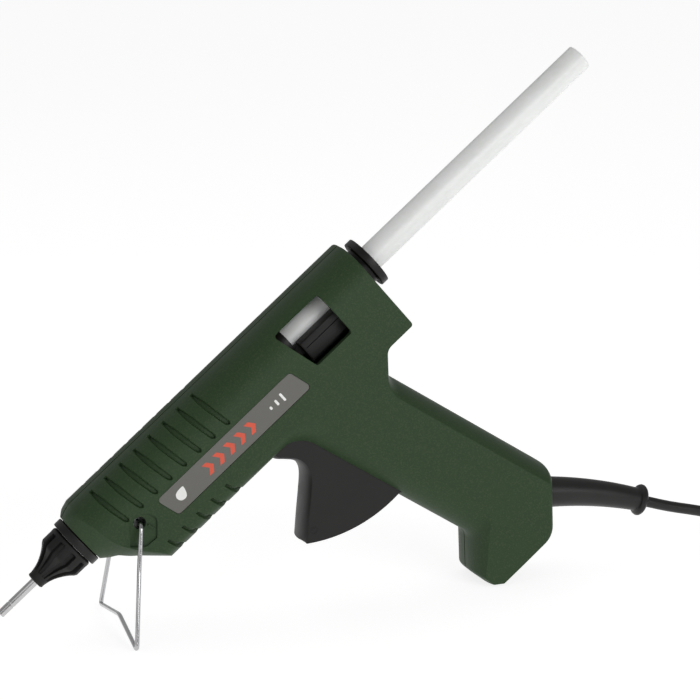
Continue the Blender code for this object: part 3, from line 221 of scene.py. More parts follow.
def soften(bm, width, segments=2, angle=radians(35), chosen=None):
    """Bevel every edge that turns more than angle and that the test chosen lets through."""
    edges = [e for e in bm.edges if e.is_manifold and e.calc_face_angle() > angle
             and (chosen is None or chosen(e))]
    bmesh.ops.bevel(bm, geom=edges, offset=width, offset_type="OFFSET", segments=segments, profile=0.5,
                    affect="EDGES", clamp_overlap=True, material=-1)
    return bm


def as_mesh(name, bm):
    mesh = bpy.data.meshes.new(name)
    bm.to_mesh(mesh)
    bm.free()
    return mesh


def placed(name, data):
    obj = bpy.data.objects.new(name, data)
    bpy.context.scene.collection.objects.link(obj)
    return obj


def merged(parts):
    whole = bmesh.new()
    for bm in parts:
        mesh = as_mesh("part", bm)
        whole.from_mesh(mesh)
        bpy.data.meshes.remove(mesh)
    return whole


def carve(bm, tools, operation="DIFFERENCE"):
    """Cut a solid with others, one after another, or join them to it."""
    target = placed("loose", as_mesh("loose", bm))
    used = [placed("loose", as_mesh("loose", tool)) for tool in tools]
    for tool in used:
        step = target.modifiers.new("carve", "BOOLEAN")
        step.operation = operation
        step.solver = "EXACT"
        step.object = tool
    bpy.context.view_layer.update()
    mesh = bpy.data.meshes.new_from_object(target.evaluated_get(bpy.context.evaluated_depsgraph_get()))
    result = bmesh.new()
    result.from_mesh(mesh)
    bpy.data.meshes.remove(mesh)
    for obj in [target] + used:
        old = obj.data
        bpy.data.objects.remove(obj)
        bpy.data.meshes.remove(old)
    return result


def settle(name, bm, mat, body, replaces=(), place=GUN, angle=radians(30)):
    """Put a finished solid in its place and give it its material and its body."""
    bmesh.ops.transform(bm, matrix=place, verts=bm.verts)
    bmesh.ops.remove_doubles(bm, verts=bm.verts, dist=1e-7)
    mesh = as_mesh(name, bm)
    mesh.shade_smooth()
    mesh.set_sharp_from_angle(angle=angle)
    mesh.materials.clear()
    mesh.materials.append(mat)
    obj = placed(name, mesh)
    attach(obj, body)
    if replaces:
        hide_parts(*replaces)
    return obj


def even_normals(obj):
    """Keep large flat faces flat where a cut meets a curve."""
    step = obj.modifiers.new("even normals", "WEIGHTED_NORMAL")
    step.keep_sharp = True
    step.weight = 60


# ---- outlines

def meet(p, d, q, e):
    p, d, q, e = Vector(p), Vector(d), Vector(q), Vector(e)
    return p + (q - p).cross(e) / d.cross(e) * d


def inset(corners, depths):
    """Move each edge of a clockwise outline inwards by its own depth."""
    moved = []
    for i, corner in enumerate(corners):
        before = (corner - corners[i - 1]).normalized()
        after = (corners[(i + 1) % len(corners)] - corner).normalized()
        p = corner + Vector((before.y, -before.x)) * depths[i - 1]
        q = corner + Vector((after.y, -after.x)) * depths[i]
        moved.append(meet(p, before, q, after))
    return moved


def fillet(corners, radii, arc_step=radians(9)):
    """Round each corner of an outline."""
    points = []
    for i, corner in enumerate(corners):
        before = (corner - corners[i - 1]).normalized()
        after = (corners[(i + 1) % len(corners)] - corner).normalized()
        turn = before.angle_signed(after)
        start = corner - before * radii[i] * tan(abs(turn) / 2)
        centre = start + Vector((before.y, -before.x)) * radii[i] * (1.0 if turn > 0 else -1.0)
        steps = max(2, ceil(abs(turn) / arc_step))
        points += [centre + Matrix.Rotation(-turn * k / steps, 2) @ (start - centre)
                   for k in range(steps + 1)]
    return points


def mm(*pairs):
    return [Vector(p) * MM for p in pairs]


def scaled(*pairs):
    """Pairs given in millimetres, in metres."""
    return [(a * MM, b * MM) for a, b in pairs]


def span(start, end, steps):
    return [start + (end - start) * k / steps for k in range(steps + 1)]


def arc(centre, radius, angles):
    return [centre + radius * Vector((cos(a), sin(a))) for a in angles]


ROUND, CREASED, BEVELLED = 1.0, 0.9, 0.0


def casing_outline():
    """Corners of the casing from the side, with each edge's rounding and its form, and corner radii."""
    rear = GRIP + ACROSS * 38.3 * MM
    front = meet((0.0, -BARREL_LOW), (1.0, 0.0), GRIP - ACROSS * 1.2 * MM, RAKE)
    base = Vector((111.0, -135.9)) * MM
    hook, cord, neck = mm((112.0, -119.6), (152.6, -127.4), (142.0, -27.4))
    cord -= LEVEL * 1.7 * MM
    flat = LEVEL * 3.2 * MM
    level = (1.0, 0.0)
    rows = (
        (Vector((1.3, -10.8)) * MM, 10.0, BEVELLED, 1.0),
        (Vector((1.3, 10.6)) * MM, 15.0, ROUND, 1.0),
        (Vector((9.7, 13.3)) * MM, 15.0, ROUND, 2.0),
        (Vector((BODY_REAR, 13.3 * MM)), 1.0, ROUND, 1.2),
        (Vector((BODY_REAR, -27.4 * MM)), 1.4, ROUND, 2.0),
        (neck, 2.4, ROUND, 4.0),
        (meet(neck, -PLUMB, rear, RAKE), 5.6, CREASED, 9.0),
        (meet(rear, RAKE, cord, PLUMB), 4.0, ROUND, 5.0),
        (meet(cord, PLUMB, base + flat, level), 3.5, ROUND, 11.0),
        (base + flat, 2.0, ROUND, 1.5),
        (base - flat, 2.5, ROUND, 1.5),
        (meet(hook, PLUMB, (0.0, -126.0 * MM), level), 6.0, CREASED, 3.0),
        (meet(hook, PLUMB, front, RAKE), 13.4, CREASED, 5.0),
        (front, 8.0, ROUND, 11.0),
        (Vector((22.0 * MM, -BARREL_LOW)), 5.5, CREASED, 1.0),
        (Vector((8.5, -12.6)) * MM, 4.0, ROUND, 2.5),
    )
    corners, rounding, forms, radii = zip(*rows)
    return list(corners), [r * MM for r in rounding], forms, [r * MM for r in radii]


def rounded_share(s, form):
    """How much of an edge's rounding is used up at share s of the way out from the crown."""
    if form == BEVELLED:
        return max(0.0, (s - 0.42) / 0.58)
    return (1 - sqrt(1 - (form * s) ** 2)) / (1 - sqrt(1 - form ** 2)) if form < 1 else 1 - sqrt(1 - s * s)


def casing_rings(walls, half_width, crown, side, seam, steps):
    """Rings of a casing half, from the seam out to the flat side."""
    corners, rounding, forms, radii = casing_outline()
    rings = []
    for k in range(-1, steps + 1):
        s = min(1.0, sin(pi / 2 * max(k, 0) / steps))
        depths = [w + max(r - w, 0.0) * rounded_share(s, form)
                  for r, w, form in zip(rounding, walls, forms)]
        shrunk = inset(corners, depths)
        kept = []
        for i, radius in enumerate(radii):
            before = corners[i] - corners[i - 1]
            after = corners[(i + 1) % len(corners)] - corners[i]
            depth = min(depths[i - 1], depths[i])
            hollow = before.cross(after) > 0
            kept.append(radius + depth if hollow else max(radius - depth, 0.3 * MM))
        y = seam if k < 0 else crown + (half_width - crown) * s
        rings.append([Vector((p.x, side * y, p.y)) for p in fillet(shrunk, kept)])
    return rings


# ---- casing

SLOT_START = 19.3 * MM
GROOVE_START = 27.6 * MM
TRIGGER_REACH = 61.4 * MM    # from the pivot to the trigger's lower edge
SCREWS = mm((31.0, -21.0), (70.0, -21.0), (148.0, -21.2), (135.5, -62.0), (122.0, -124.0))
STAND_PIVOT = Vector((24.4, -6.6)) * MM
RELIEF_EXIT = Vector((152.6, -127.4)) * MM


def groove_cutter(path, widths, depth):
    """A sunk groove swept along (point, outward normal) pairs, with a small chamfer at its lips."""
    rings = []
    chamfer = 0.25 * MM
    for (point, out), half in zip(path, widths):
        floor = max(half - 0.3 * MM, half * 0.4)
        section = ((-half - chamfer, 1.6 * MM), (-half - chamfer, 0.05 * MM), (-half, -chamfer),
                   (-floor, -depth), (floor, -depth), (half, -chamfer), (half + chamfer, 0.05 * MM),
                   (half + chamfer, 1.6 * MM))
        rings.append([point + Vector((1, 0, 0)) * across + out * rise for across, rise in section])
    return loft(rings)


def shoulder_point(angle, side, radius, height, casing, sign):
    """A point on an edge's rounding and its outward normal; sign is +1 on top and -1 below."""
    reach = casing.half_width - casing.crown
    y = casing.crown + reach * sin(angle)
    z = sign * (height - radius * (1 - cos(angle)))
    out = Vector((0, side * sin(angle) / reach, sign * cos(angle) / radius)).normalized()
    return Vector((0, side * y, z)), out


def end_widths(count, half, first, full, last):
    """Half widths along a groove: the first share at its start, all of it at full, the last at its end."""
    widths = []
    for k in range(count):
        t = k / (count - 1)
        w = half * (first + (1 - first) * t / full if t < full else 1 - (1 - last) * (t - full) / (1 - full))
        left = (count - 1 - k) / 1.6
        if left < 1:
            w *= max(0.15, sqrt(1 - (1 - left) ** 2))
        widths.append(w)
    return widths


def slot_cutters(side, casing):
    cutters = []
    count = 22
    for i in range(casing.slots):
        path = []
        for k in range(count):
            t = k / (count - 1)
            point, out = shoulder_point(radians(12 + 78 * min(1.0, t / 0.94)), side, 15 * MM, 13.3 * MM,
                                        casing, 1)
            point.z -= 1.1 * MM * max(0.0, t - 0.94) / 0.06
            point.x = SLOT_START + i * casing.slot_pitch + 2.6 * MM * t ** 1.7
            path.append((point, out))
        cutters.append(groove_cutter(path, end_widths(count, 1.2 * MM, 0.45, 0.4, 0.8), 1.25 * MM))
    count = 16
    for i in range(casing.grooves):
        path = []
        for k in range(count):
            t = k / (count - 1)
            point, out = shoulder_point(radians(min(90, 98 - 78 * t)), side, 8 * MM, BARREL_LOW,
                                        casing, -1)
            point.z += 1.6 * MM * max(0.0, 0.1 - t) / 0.1
            point.x = GROOVE_START + i * casing.slot_pitch + 4.4 * MM * t
            path.append((point, out))
        cutters.append(groove_cutter(path, end_widths(count, 1.25 * MM, 0.35, 0.5, 0.75), 1.5 * MM))
    return merged(cutters)


def window_outline():
    return fillet(mm((111, 9.0), (134.8, 9.0), (134.8, -10.6), (116, -10.6)), [1.2 * MM] * 4, radians(15))


def label_outline(shrink):
    corners = [Vector((x * MM + inner * shrink, z * MM + rise * shrink)) for x, inner, z, rise in (
        (34.7, 1, -4.4, -1), (106.2, -1, -4.4, -1), (109.0, -1, -15.3, 1), (37.4, 1, -15.3, 1))]
    return fillet(corners, [1.8 * MM - shrink] * 4, radians(12))


def bosses(side, casing):
    outer = side * casing.half_width
    parts = [rod((p.x, outer, p.y), (p.x, -side * MM, p.y), 3.7 * MM) for p in SCREWS]
    parts.append(rod((PIVOT.x, outer, PIVOT.z), (PIVOT.x, side * 8.8 * MM, PIVOT.z), 3.6 * MM))
    return merged(parts)


def trigger_slot():
    """The sector between the halves that the trigger swings through."""
    radius = 61.8 * MM
    front, back = radians(205.5), radians(281.0)
    return slab([PIVOT.xz] + arc(PIVOT.xz, radius, span(front, back, 40)), -8.8 * MM, 8.8 * MM)


def by_pivot(across, rise):
    """A place near the stand's hole, from level and plumb distances in millimetres."""
    return STAND_PIVOT + (LEVEL * across + PLUMB * rise) * MM


def stand_recess(side, casing):
    """The sunk pad round the stand's hole, open towards the chin, and the hole itself."""
    flat = casing.half_width
    top = [by_pivot(1.2 - 5.6 * cos(a), 3.7 * sin(a)) for a in (radians(15 * k) for k in range(13))]
    low = [by_pivot(6.4, -6.5), by_pivot(2.0, -9.5), by_pivot(-4.4, -9.0)]
    pad = slab(top + low, side * (flat - 0.8 * MM), side * (flat + MM))
    hole = rod((STAND_PIVOT.x, side * 13 * MM, STAND_PIVOT.y),
               (STAND_PIVOT.x, side * (flat + 1.5 * MM), STAND_PIVOT.y), 2.5 * MM)
    return [pad, hole]


def hook_facet(side, casing, inwards=0.0):
    """A wedge that leans the side of the hook inwards below the handle's flat panel."""
    start = GRIP + ACROSS * 12.2 * MM
    width = casing.half_width - inwards
    rings = []
    for t in (70 * MM, 150 * MM):
        edge = start + RAKE * t
        front = edge - ACROSS * 34 * MM
        section = ((edge, width), (front, width - 3.6 * MM), (front, width + 6 * MM), (edge, width + 6 * MM))
        rings.append([Vector((p.x, side * y, p.y)) for p, y in section])
    return loft(rings)


def nose_trim(inwards=0.0):
    """What lies outside the cone that blends the nose into the barrel."""
    cone = ((0.0, 11.2), (3.8, 11.2), (9.0, 15.4), (16.0, 21.6), (26.0, 31.5))
    return spun([(x, r - inwards) for x, r in scaled(*cone)] + scaled((26.0, 60.0), (0.0, 60.0)), 96)


def base_ribs(side):
    """Shallow grooves across the lower front corner of the handle."""
    low, high = mm((106.4, -127.4), (108.2, -133.2))
    parts = []
    for k in range(4):
        centre = low.lerp(high, (k + 0.5) / 4) + Vector((-0.45, -0.1)) * MM
        parts.append(rod((centre.x, -side * MM, centre.y), (centre.x, side * 15 * MM, centre.y),
                         0.62 * MM, 16))
    return merged(parts)


def exit_at(distance):
    """A point on the cord's level way out of the handle, in the gun frame."""
    p = RELIEF_EXIT + LEVEL * distance
    return Vector((p.x, 0.0, p.y))


def build_casing(side, name, mat):
    casing = bpy.context.scene.gg_casing
    count = len(casing_outline()[0])
    shell = loft(casing_rings([0.0] * count, casing.half_width, casing.crown, side, casing.seam / 2, 14))
    walls = [5 * MM] + [casing.wall] * (count - 1)
    inner = loft(casing_rings(walls, casing.half_width - casing.wall, casing.crown, side, -MM, 8))
    hollow = carve(inner, [bosses(side, casing), nose_trim(2.4 * MM), hook_facet(side, casing, 2.8 * MM)])
    reach = 40 * MM
    openings = [box(-5 * MM, 3.8 * MM, -reach, reach, -reach, reach),
                rod((BODY_REAR - 5 * MM, 0, 0), (BODY_REAR + MM, 0, 0), 8.3 * MM, 48),
                rod(exit_at(2 * MM), exit_at(-12 * MM), 5.0 * MM)]
    nose = [rod((0, 0, 0), (9 * MM, 0, 0), 9.5 * MM, 48)]
    pin = [rod((PIVOT.x, side * 5 * MM, PIVOT.z), (PIVOT.x, side * 15.3 * MM, PIVOT.z), 1.65 * MM)]
    holes = []
    for p in SCREWS:
        if side > 0:
            holes.append(rod((p.x, 9 * MM, p.y), (p.x, 20 * MM, p.y), 3.2 * MM))
        else:
            holes.append(rod((p.x, GAP, p.y), (p.x, -9.3 * MM, p.y), 1.65 * MM))
    pad, hole = stand_recess(side, casing)
    tools = [hollow, merged(openings), merged(nose + pin + holes), trigger_slot(),
             slot_cutters(side, casing), pad, hole, base_ribs(side)]
    if side > 0:
        tools.append(merged([rod((p.x, -GAP, p.y), (p.x, 9.3 * MM, p.y), 1.9 * MM) for p in SCREWS]))
    else:
        outer, sunk = -casing.half_width - MM, -casing.half_width + 0.55 * MM
        tools.append(merged([slab(window_outline(), outer, -MM), slab(label_outline(0.0), outer, sunk)]))
    tools += [nose_trim(), hook_facet(side, casing)]
    shell = carve(shell, tools)
    bar = [by_pivot(2.9, -1.2), by_pivot(3.3, -0.7), by_pivot(5.9, -2.9), by_pivot(5.5, -3.4)]
    detent = slab(bar, side * (casing.half_width - 1.2 * MM), side * (casing.half_width - 0.1 * MM))
    shell = carve(shell, [detent], "UNION")
    obj = settle(name, shell, mat, "body", (name.replace("_shell", ""),))
    even_normals(obj)
    return obj


# ---- label

def turned_outline(points, centre, angle):
    spin = Matrix.Rotation(angle, 2)
    return [Vector(centre) + spin @ p for p in points]


def drop_outline(size):
    """A drop of glue, point up."""
    points = []
    for k in range(28):
        a = 2 * pi * k / 28
        squeeze = 1.0 if sin(a) < 0 else 1 - 0.55 * sin(a) ** 1.4
        stretch = 1.0 if sin(a) < 0 else 1.55
        points.append(Vector((cos(a) * squeeze, sin(a) * stretch)) * size)
    return points


def annulus(centre, outer, inner, low, high, sides=48):
    """A flat ring facing across the gun."""
    profile = [(low, outer), (high, outer), (high, inner), (low, inner)]
    return spun(profile, sides, axis=(0, 1, 0), centre=(centre[0], 0, centre[1]))


def build_label(mats):
    face = -bpy.context.scene.gg_casing.half_width + 0.1 * MM
    strip = soften(slab(label_outline(GAP / 2), face, face + 0.42 * MM), 0.08 * MM, 1)
    settle("label_plate", strip, mats["label"], "body", ("label_strip",))
    top, low = face - 0.03 * MM, face + 0.05 * MM
    middle = -9.85 * MM
    white = [slab(turned_outline(drop_outline(2.2 * MM), (43.4 * MM, middle), radians(-51)), top, low)]
    for k, width in enumerate((1.4, 2.6, 3.8)):
        x = (91.5 + 3.1 * k) * MM
        half = width * MM / 2
        bar = [Vector((x + along * 0.5 * MM, middle + rise * half))
               for along, rise in ((-1, -1), (-1, 1), (1, 1), (1, -1))]
        white.append(slab(fillet(bar, [0.4 * MM] * 4, radians(20)), top, low))
    settle("label_print_white", merged(white), mats["print_white"], "body")
    accent = []
    for k in range(5):
        x = (56.5 + 5.6 * k) * MM
        chevron = mm((0, -2.6), (1.9, 0), (0, 2.6), (2.2, 2.6), (4.1, 0), (2.2, -2.6))
        accent.append(slab([Vector((x, middle)) + p for p in chevron], top, low))
    settle("label_print_accent", merged(accent), mats["print_accent"], "body")


# ---- nose

def rounded_ring(points, radius):
    """A ring round the stick's axis, every corner of its outline rounded."""
    profile = fillet([Vector(p) for p in points], [radius] * len(points), radians(30))
    return spun([tuple(p) for p in profile], 96)


def build_nose_ring(mat):
    ring = rounded_ring(scaled((0, 7.5), (0, 10.8), (3.4, 10.8), (3.4, 9.2), (6.5, 9.2), (6.5, 7.5)),
                        0.35 * MM)
    settle("nose_ring_moulded", ring, mat, "body", ("nose_ring",))


def sleeve_radius(x):
    """Outer radius of the sleeve: straight at the back, then a hollow curve to the tip."""
    straight, end = 7.6 * MM, 20.5 * MM
    if x <= straight:
        return 9.7 * MM
    t = (x - straight) / (end - straight)
    return (9.7 - 6.2 * sin(t * pi / 2) ** 0.8) * MM


def build_sleeve(mat):
    nozzle = bpy.context.scene.gg_nozzle
    bore = nozzle.tube_radius + GAP
    outer = scaled((-0.3, 9.2), (-0.9, 9.7), (-7.0, 9.7))
    outer += [(-x * MM, sleeve_radius(x * MM)) for x in (8.0, 9.0, 10.2, 11.5, 13.0, 14.5, 16.0, 17.5, 19.0)]
    outer += scaled((-20.1, 3.6), (-20.5, 3.1))
    inner = [(-20.5 * MM, bore), (-19.0 * MM, bore)] + scaled((-6.6, 5.2), (-6.3, 6.8), (-0.3, 6.8))
    sleeve = spun(outer + inner, 120)
    pits = []
    for k in range(nozzle.fins):
        turn = Matrix.Rotation(2 * pi * (k + 0.5) / nozzle.fins, 4, "X")
        rings = []
        for x, half, depth in ((2.2, 0.9, 0.9), (2.6, 1.3, 1.6), (7.4, 1.45, 2.3), (9.5, 1.35, 2.1),
                               (12.0, 1.15, 1.7), (14.5, 0.9, 1.1), (17.0, 0.55, 0.4)):
            r = sleeve_radius(x * MM)
            low, high = r - depth * MM, r + 2.5 * MM
            right = ((half * 0.7, low), (half, r - 0.3 * MM), (half + 0.3, r + 0.05 * MM), (half + 0.3, high))
            section = ((-half * 0.7, low), *right, *((-y, z) for y, z in right[:0:-1]))
            rings.append([Vector((-x * MM, y * MM, z)) for y, z in section])
        pit = loft(rings)
        bmesh.ops.transform(pit, matrix=turn, verts=pit.verts)
        pits.append(pit)
    obj = settle("nozzle_sleeve_ribbed", carve(sleeve, [merged(pits)]), mat, "body",
                 ("nozzle_sleeve",), angle=radians(38))
    even_normals(obj)


def build_nozzle(mat):
    nozzle = bpy.context.scene.gg_nozzle
    r, tip = nozzle.tube_radius, nozzle.tube_tip
    profile = [(-tip, 0.8 * MM), (-tip, r - 0.25 * MM), (-tip + 0.25 * MM, r), (-tip + 5.2 * MM, r),
               (-tip + 5.4 * MM, r - 0.12 * MM), (-tip + 5.8 * MM, r - 0.12 * MM), (-tip + 6.0 * MM, r),
               (-19.3 * MM, r)]
    profile += scaled((-6.0, 4.6), (-6.0, 6.5), (1.7, 6.5), (1.7, 4.9), (11.4, 4.9), (11.4, 0.8))
    settle("nozzle_turned", spun(profile, 64), mat, "body", ("nozzle",))


# ---- stick, collar and feed

def build_stick(mat):
    stick = bpy.context.scene.gg_stick
    r, front, rear = stick.radius, stick.front, stick.rear
    profile = [(front, 1e-5), (front, r - 0.6 * MM), (front + 0.6 * MM, r), (rear - 0.35 * MM, r),
               (rear - 0.1 * MM, r - 0.1 * MM), (rear, r - 0.35 * MM), (rear - 0.25 * MM, 1e-5)]
    settle("glue_stick_moulded", spun(profile, 72), mat, "stick", ("glue_stick",))


def build_collar(mat):
    bore = 5.9
    ring = rounded_ring(scaled((160.2, bore), (151.1, bore), (151.1, 9.4), (152.7, 9.4), (152.7, 8.0),
                               (157.8, 8.0), (157.8, 10.85), (161.0, 10.85), (161.0, bore + 1.0)), 0.3 * MM)
    settle("rear_collar_moulded", ring, mat, "body", ("rear_collar",))


def build_carriage(mat):
    front, rear = 116.7 * MM, 146.7 * MM
    block = box(front, rear, -11.5 * MM, 11.5 * MM, -11.8 * MM, -1.4 * MM)
    soften(block, 0.5 * MM)
    bar = soften(box(98.3 * MM, front + 6 * MM, 8.8 * MM, 11.0 * MM, -6 * MM, 4 * MM), 0.3 * MM)
    mouth = soften(rod((110.2 * MM, 0, 0), (115.0 * MM, 0, 0), 7.5 * MM, 64), 0.3 * MM, 2)
    neck = slab(mm((114.0, -7.4), (114.0, -1.6), (118.0, -1.6), (118.0, -7.4)), -6.9 * MM, 6.9 * MM)
    block = carve(block, [bar, mouth, neck], "UNION")
    channel = rod((108 * MM, 0, 0), (rear + MM, 0, 0), 5.9 * MM, 64)
    slot = box(PIVOT.x - 1.4 * MM, PIVOT.x + 1.4 * MM, 7.8 * MM, 12 * MM, -2.6 * MM, 1.6 * MM)
    pocket = box(128.0 * MM, 142.0 * MM, -2.8 * MM, 2.8 * MM, -13 * MM, 0.0)
    step = box(front + 1.2 * MM, rear - 1.2 * MM, -12.5 * MM, -10.9 * MM, -4.6 * MM, -4.2 * MM)
    ledge = box(front - MM, rear + MM, -12.5 * MM, -8.4 * MM, -13.0 * MM, -9.7 * MM)
    pin = rod((139 * MM, -9.2 * MM, -9.4 * MM), (139 * MM, 9.2 * MM, -9.4 * MM), 0.95 * MM, 20)
    block = carve(block, [channel, merged([slot, step, ledge]), pocket, pin])
    settle("feed_carriage_moulded", block, mat, "carriage", ("feed_carriage",))


# ---- trigger

def smooth_line(points, per_span):
    """Points along a Catmull-Rom curve."""
    pts = [Vector(p) for p in points]
    ends = [2 * pts[0] - pts[1]] + pts + [2 * pts[-1] - pts[-2]]
    line = []
    for a, b, c, d in zip(ends, ends[1:], ends[2:], ends[3:]):
        for k in range(per_span):
            t = k / per_span
            line.append(0.5 * (2 * b + (c - a) * t + (2 * a - 5 * b + 4 * c - d) * t * t
                               + (3 * b - a - 3 * c + d) * t ** 3))
    return line + [pts[-1]]


def trigger_ring(y, bulge):
    """The trigger's outline at one distance across, its front edge pushed forward by bulge."""
    low = arc(PIVOT.xz, TRIGGER_REACH, span(radians(277.5), radians(232.9), 28))
    hub = arc(PIVOT.xz, 4.6 * MM, [radians(120 - 15 * k) for k in range(9)])
    front = smooth_line(mm((67.1, -64.4), (72.9, -58.7), (78.8, -53.1), (84.3, -47.6), (86.5, -44.0),
                           (87.1, -40.2), (86.1, -36.5), (83.3, -33.0), (81.1, -30.6), (80.6, -28.6)), 5)
    pushed = []
    for k, p in enumerate(front):
        along = (front[min(k + 1, len(front) - 1)] - front[max(k - 1, 0)]).normalized()
        droop = Vector((-0.5, -0.45)) * max(0.0, 1 - k / 4) * max(bulge, 0.0)
        pushed.append(p + Vector((-along.y, along.x)) * bulge + droop)
    return [Vector((p.x, y, p.y)) for p in mm((90.9, -22.4)) + hub + low + pushed]


def build_trigger(mat):
    half = 8.4 * MM
    near = ((8.4, -0.35), (8.3, -0.05), (8.0, 0.15), (7.2, 0.62), (6.0, 1.05), (4.4, 1.4), (2.4, 1.62),
            (0.0, 1.7))
    shape = [(-y, bulge) for y, bulge in near] + [(y, bulge) for y, bulge in near[-2::-1]]
    blade = loft([trigger_ring(y * MM, bulge * MM) for y, bulge in shape])
    arm = soften(box(100.3 * MM, 105.5 * MM, 6.6 * MM, half, PIVOT.z, 2.4 * MM), 0.2 * MM, 1)
    peg = rod((PIVOT.x, 7.4 * MM, 0), (PIVOT.x, 11.0 * MM, 0), 1.2 * MM, 24)
    blade = carve(blade, [arm, peg], "UNION")
    bore = rod((PIVOT.x, -18 * MM, PIVOT.z), (PIVOT.x, 18 * MM, PIVOT.z), 1.65 * MM)
    seat = rod((100.9 * MM, 0, -44 * MM), (133 * MM, 0, -44 * MM), 4.25 * MM)
    mark = annulus((71.6 * MM, -63.3 * MM), 1.35 * MM, 1.1 * MM, -half - MM, -half + 0.12 * MM, 24)
    blade = carve(blade, [bore, seat, mark])
    obj = settle("trigger_moulded", blade, mat, "trigger_body", ("trigger",))
    even_normals(obj)


# ---- stand

def rounded_path(points, radius, steps):
    pts = [Vector(p) for p in points]
    path = [pts[0]]
    for before, corner, after in zip(pts, pts[1:], pts[2:]):
        back = min(radius, (before - corner).length / 2.2, (after - corner).length / 2.2)
        p = corner + (before - corner).normalized() * back
        q = corner + (after - corner).normalized() * back
        path += [(1 - t) ** 2 * p + 2 * t * (1 - t) * corner + t * t * q
                 for t in (k / steps for k in range(steps + 1))]
    return path + [pts[-1]]


def tube(path, radius, sides):
    """A round wire along a path, its rings carried along without twist."""
    across = None
    rings = []
    for i, point in enumerate(path):
        along = (path[min(i + 1, len(path) - 1)] - path[max(i - 1, 0)]).normalized()
        across = along.orthogonal() if across is None else across - along * across.dot(along)
        across.normalize()
        rings.append(circle(point, across, along.cross(across), radius, sides))
    first, last = rings[0], rings[-1]
    start = (path[1] - path[0]).normalized() * radius * 0.5
    end = (path[-1] - path[-2]).normalized() * radius * 0.5
    head = [path[0] - start + (p - path[0]) * 0.6 for p in first]
    tail = [path[-1] + end + (p - path[-1]) * 0.6 for p in last]
    return loft([head] + rings + [tail])


def stand_path(leg):
    half = [(0.0, 13.6 * MM, 0.0), (0.0, 19.2 * MM, 0.0), (16.7 * MM, 22.6 * MM, 0.0),
            (leg, 31.0 * MM, 0.0)]
    mirrored = [(x, -y, z) for x, y, z in half]
    return rounded_path(half + [(41.6 * MM, 0.0, 0.0)] + mirrored[::-1], 2.6 * MM, 10)


def build_stand(mat):
    stand = bpy.context.scene.gg_stand
    path = stand_path(2 * stand.leg - max(p.x for p in stand_path(stand.leg)))
    open_angle = radians(222.3)
    along = Vector((cos(open_angle), 0.0, sin(open_angle)))
    pivot = Vector((STAND_PIVOT.x, 0.0, STAND_PIVOT.y))
    points = [pivot + p.x * along + Vector((0.0, p.y, 0.0)) for p in path]
    settle("wire_stand_bent", tube(points, stand.wire_radius, 20), mat, "stand",
           ("wire_stand",), angle=radians(50))


# ---- screws

def build_screws(mat):
    for i, p in enumerate(SCREWS):
        profile = [(-8.7 * MM, 1e-5)]
        profile += scaled((-8.7, 0.5), (-7.4, 1.5), (9.3, 1.5), (9.3, 2.8), (10.2, 2.75), (10.9, 2.2),
                          (11.25, 1.2))
        profile.append((11.3 * MM, 1e-5))
        screw = spun(profile, 40, axis=(0, 1, 0), centre=(p.x, 0, p.y))
        arms = [box(p.x - 0.35 * MM, p.x + 0.35 * MM, 9.9 * MM, 12 * MM, p.y - 1.5 * MM, p.y + 1.5 * MM),
                box(p.x - 1.5 * MM, p.x + 1.5 * MM, 9.9 * MM, 12 * MM, p.y - 0.35 * MM, p.y + 0.35 * MM)]
        settle(f"casing_screw_cross_{i + 1}", carve(screw, arms), mat, "body",
               (f"casing_screw_{i + 1}",))


# ---- strain relief, cord and plug

RELIEF_LENGTH = 44.5 * MM
RELIEF_START = radians(5)
RELIEF_DROOP = radians(14)


def relief_line(distance):
    """Centre and direction of the strain relief: a small drop at its root, then an even droop."""
    run = max(distance, 0.0)
    turn = RELIEF_DROOP * run / RELIEF_LENGTH + (RELIEF_START if distance > 0 else 0.0)
    mean = (turn + RELIEF_START) / 2 if distance > 0 else 0.0
    centre = RELIEF_EXIT + LEVEL * distance * cos(mean) - PLUMB * run * sin(mean)
    along = LEVEL * cos(turn) - PLUMB * sin(turn)
    return Vector((centre.x, 0.0, centre.y)), Vector((along.x, 0.0, along.y))


def build_relief(mat):
    stations = [(-7.5, 6.6), (-5.5, 6.6), (-5.5, 4.6), (-1.5, 4.6), (-1.5, 6.2), (-1.2, 6.45)]
    stations += [(0.4 + 40.5 * k / 16, 6.4 - 1.55 * k / 16) for k in range(17)]
    stations += [(41.2, 5.1), (41.4, 5.7), (41.9, 6.3), (42.6, 6.6), (43.3, 6.5), (43.9, 6.0), (44.3, 5.3),
                 (44.4, 4.2), (44.1, 3.2), (43.9, 2.7)]
    rings = []
    across = Vector((0, 1, 0))
    for distance, radius in stations:
        centre, along = relief_line(distance * MM)
        rings.append(circle(centre, across, along.cross(across), radius * MM, 48))
    settle("strain_relief_moulded", loft(rings), mat, "body", ("strain_relief",))


COIL_MEAN = 26.5 * MM
COIL_LIFT = 1.0 * MM
PLUG_LENGTH = 36.0 * MM
PRONG_OFFSET = 9.3 * MM


def coil_sizes():
    cord = bpy.context.scene.gg_cord
    low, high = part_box("cord_coil")
    centre = Vector(((low.x + high.x) / 2, (low.y + high.y) / 2, 0.0))
    return centre, COIL_MEAN + cord.turns * cord.radius, COIL_LIFT + cord.radius


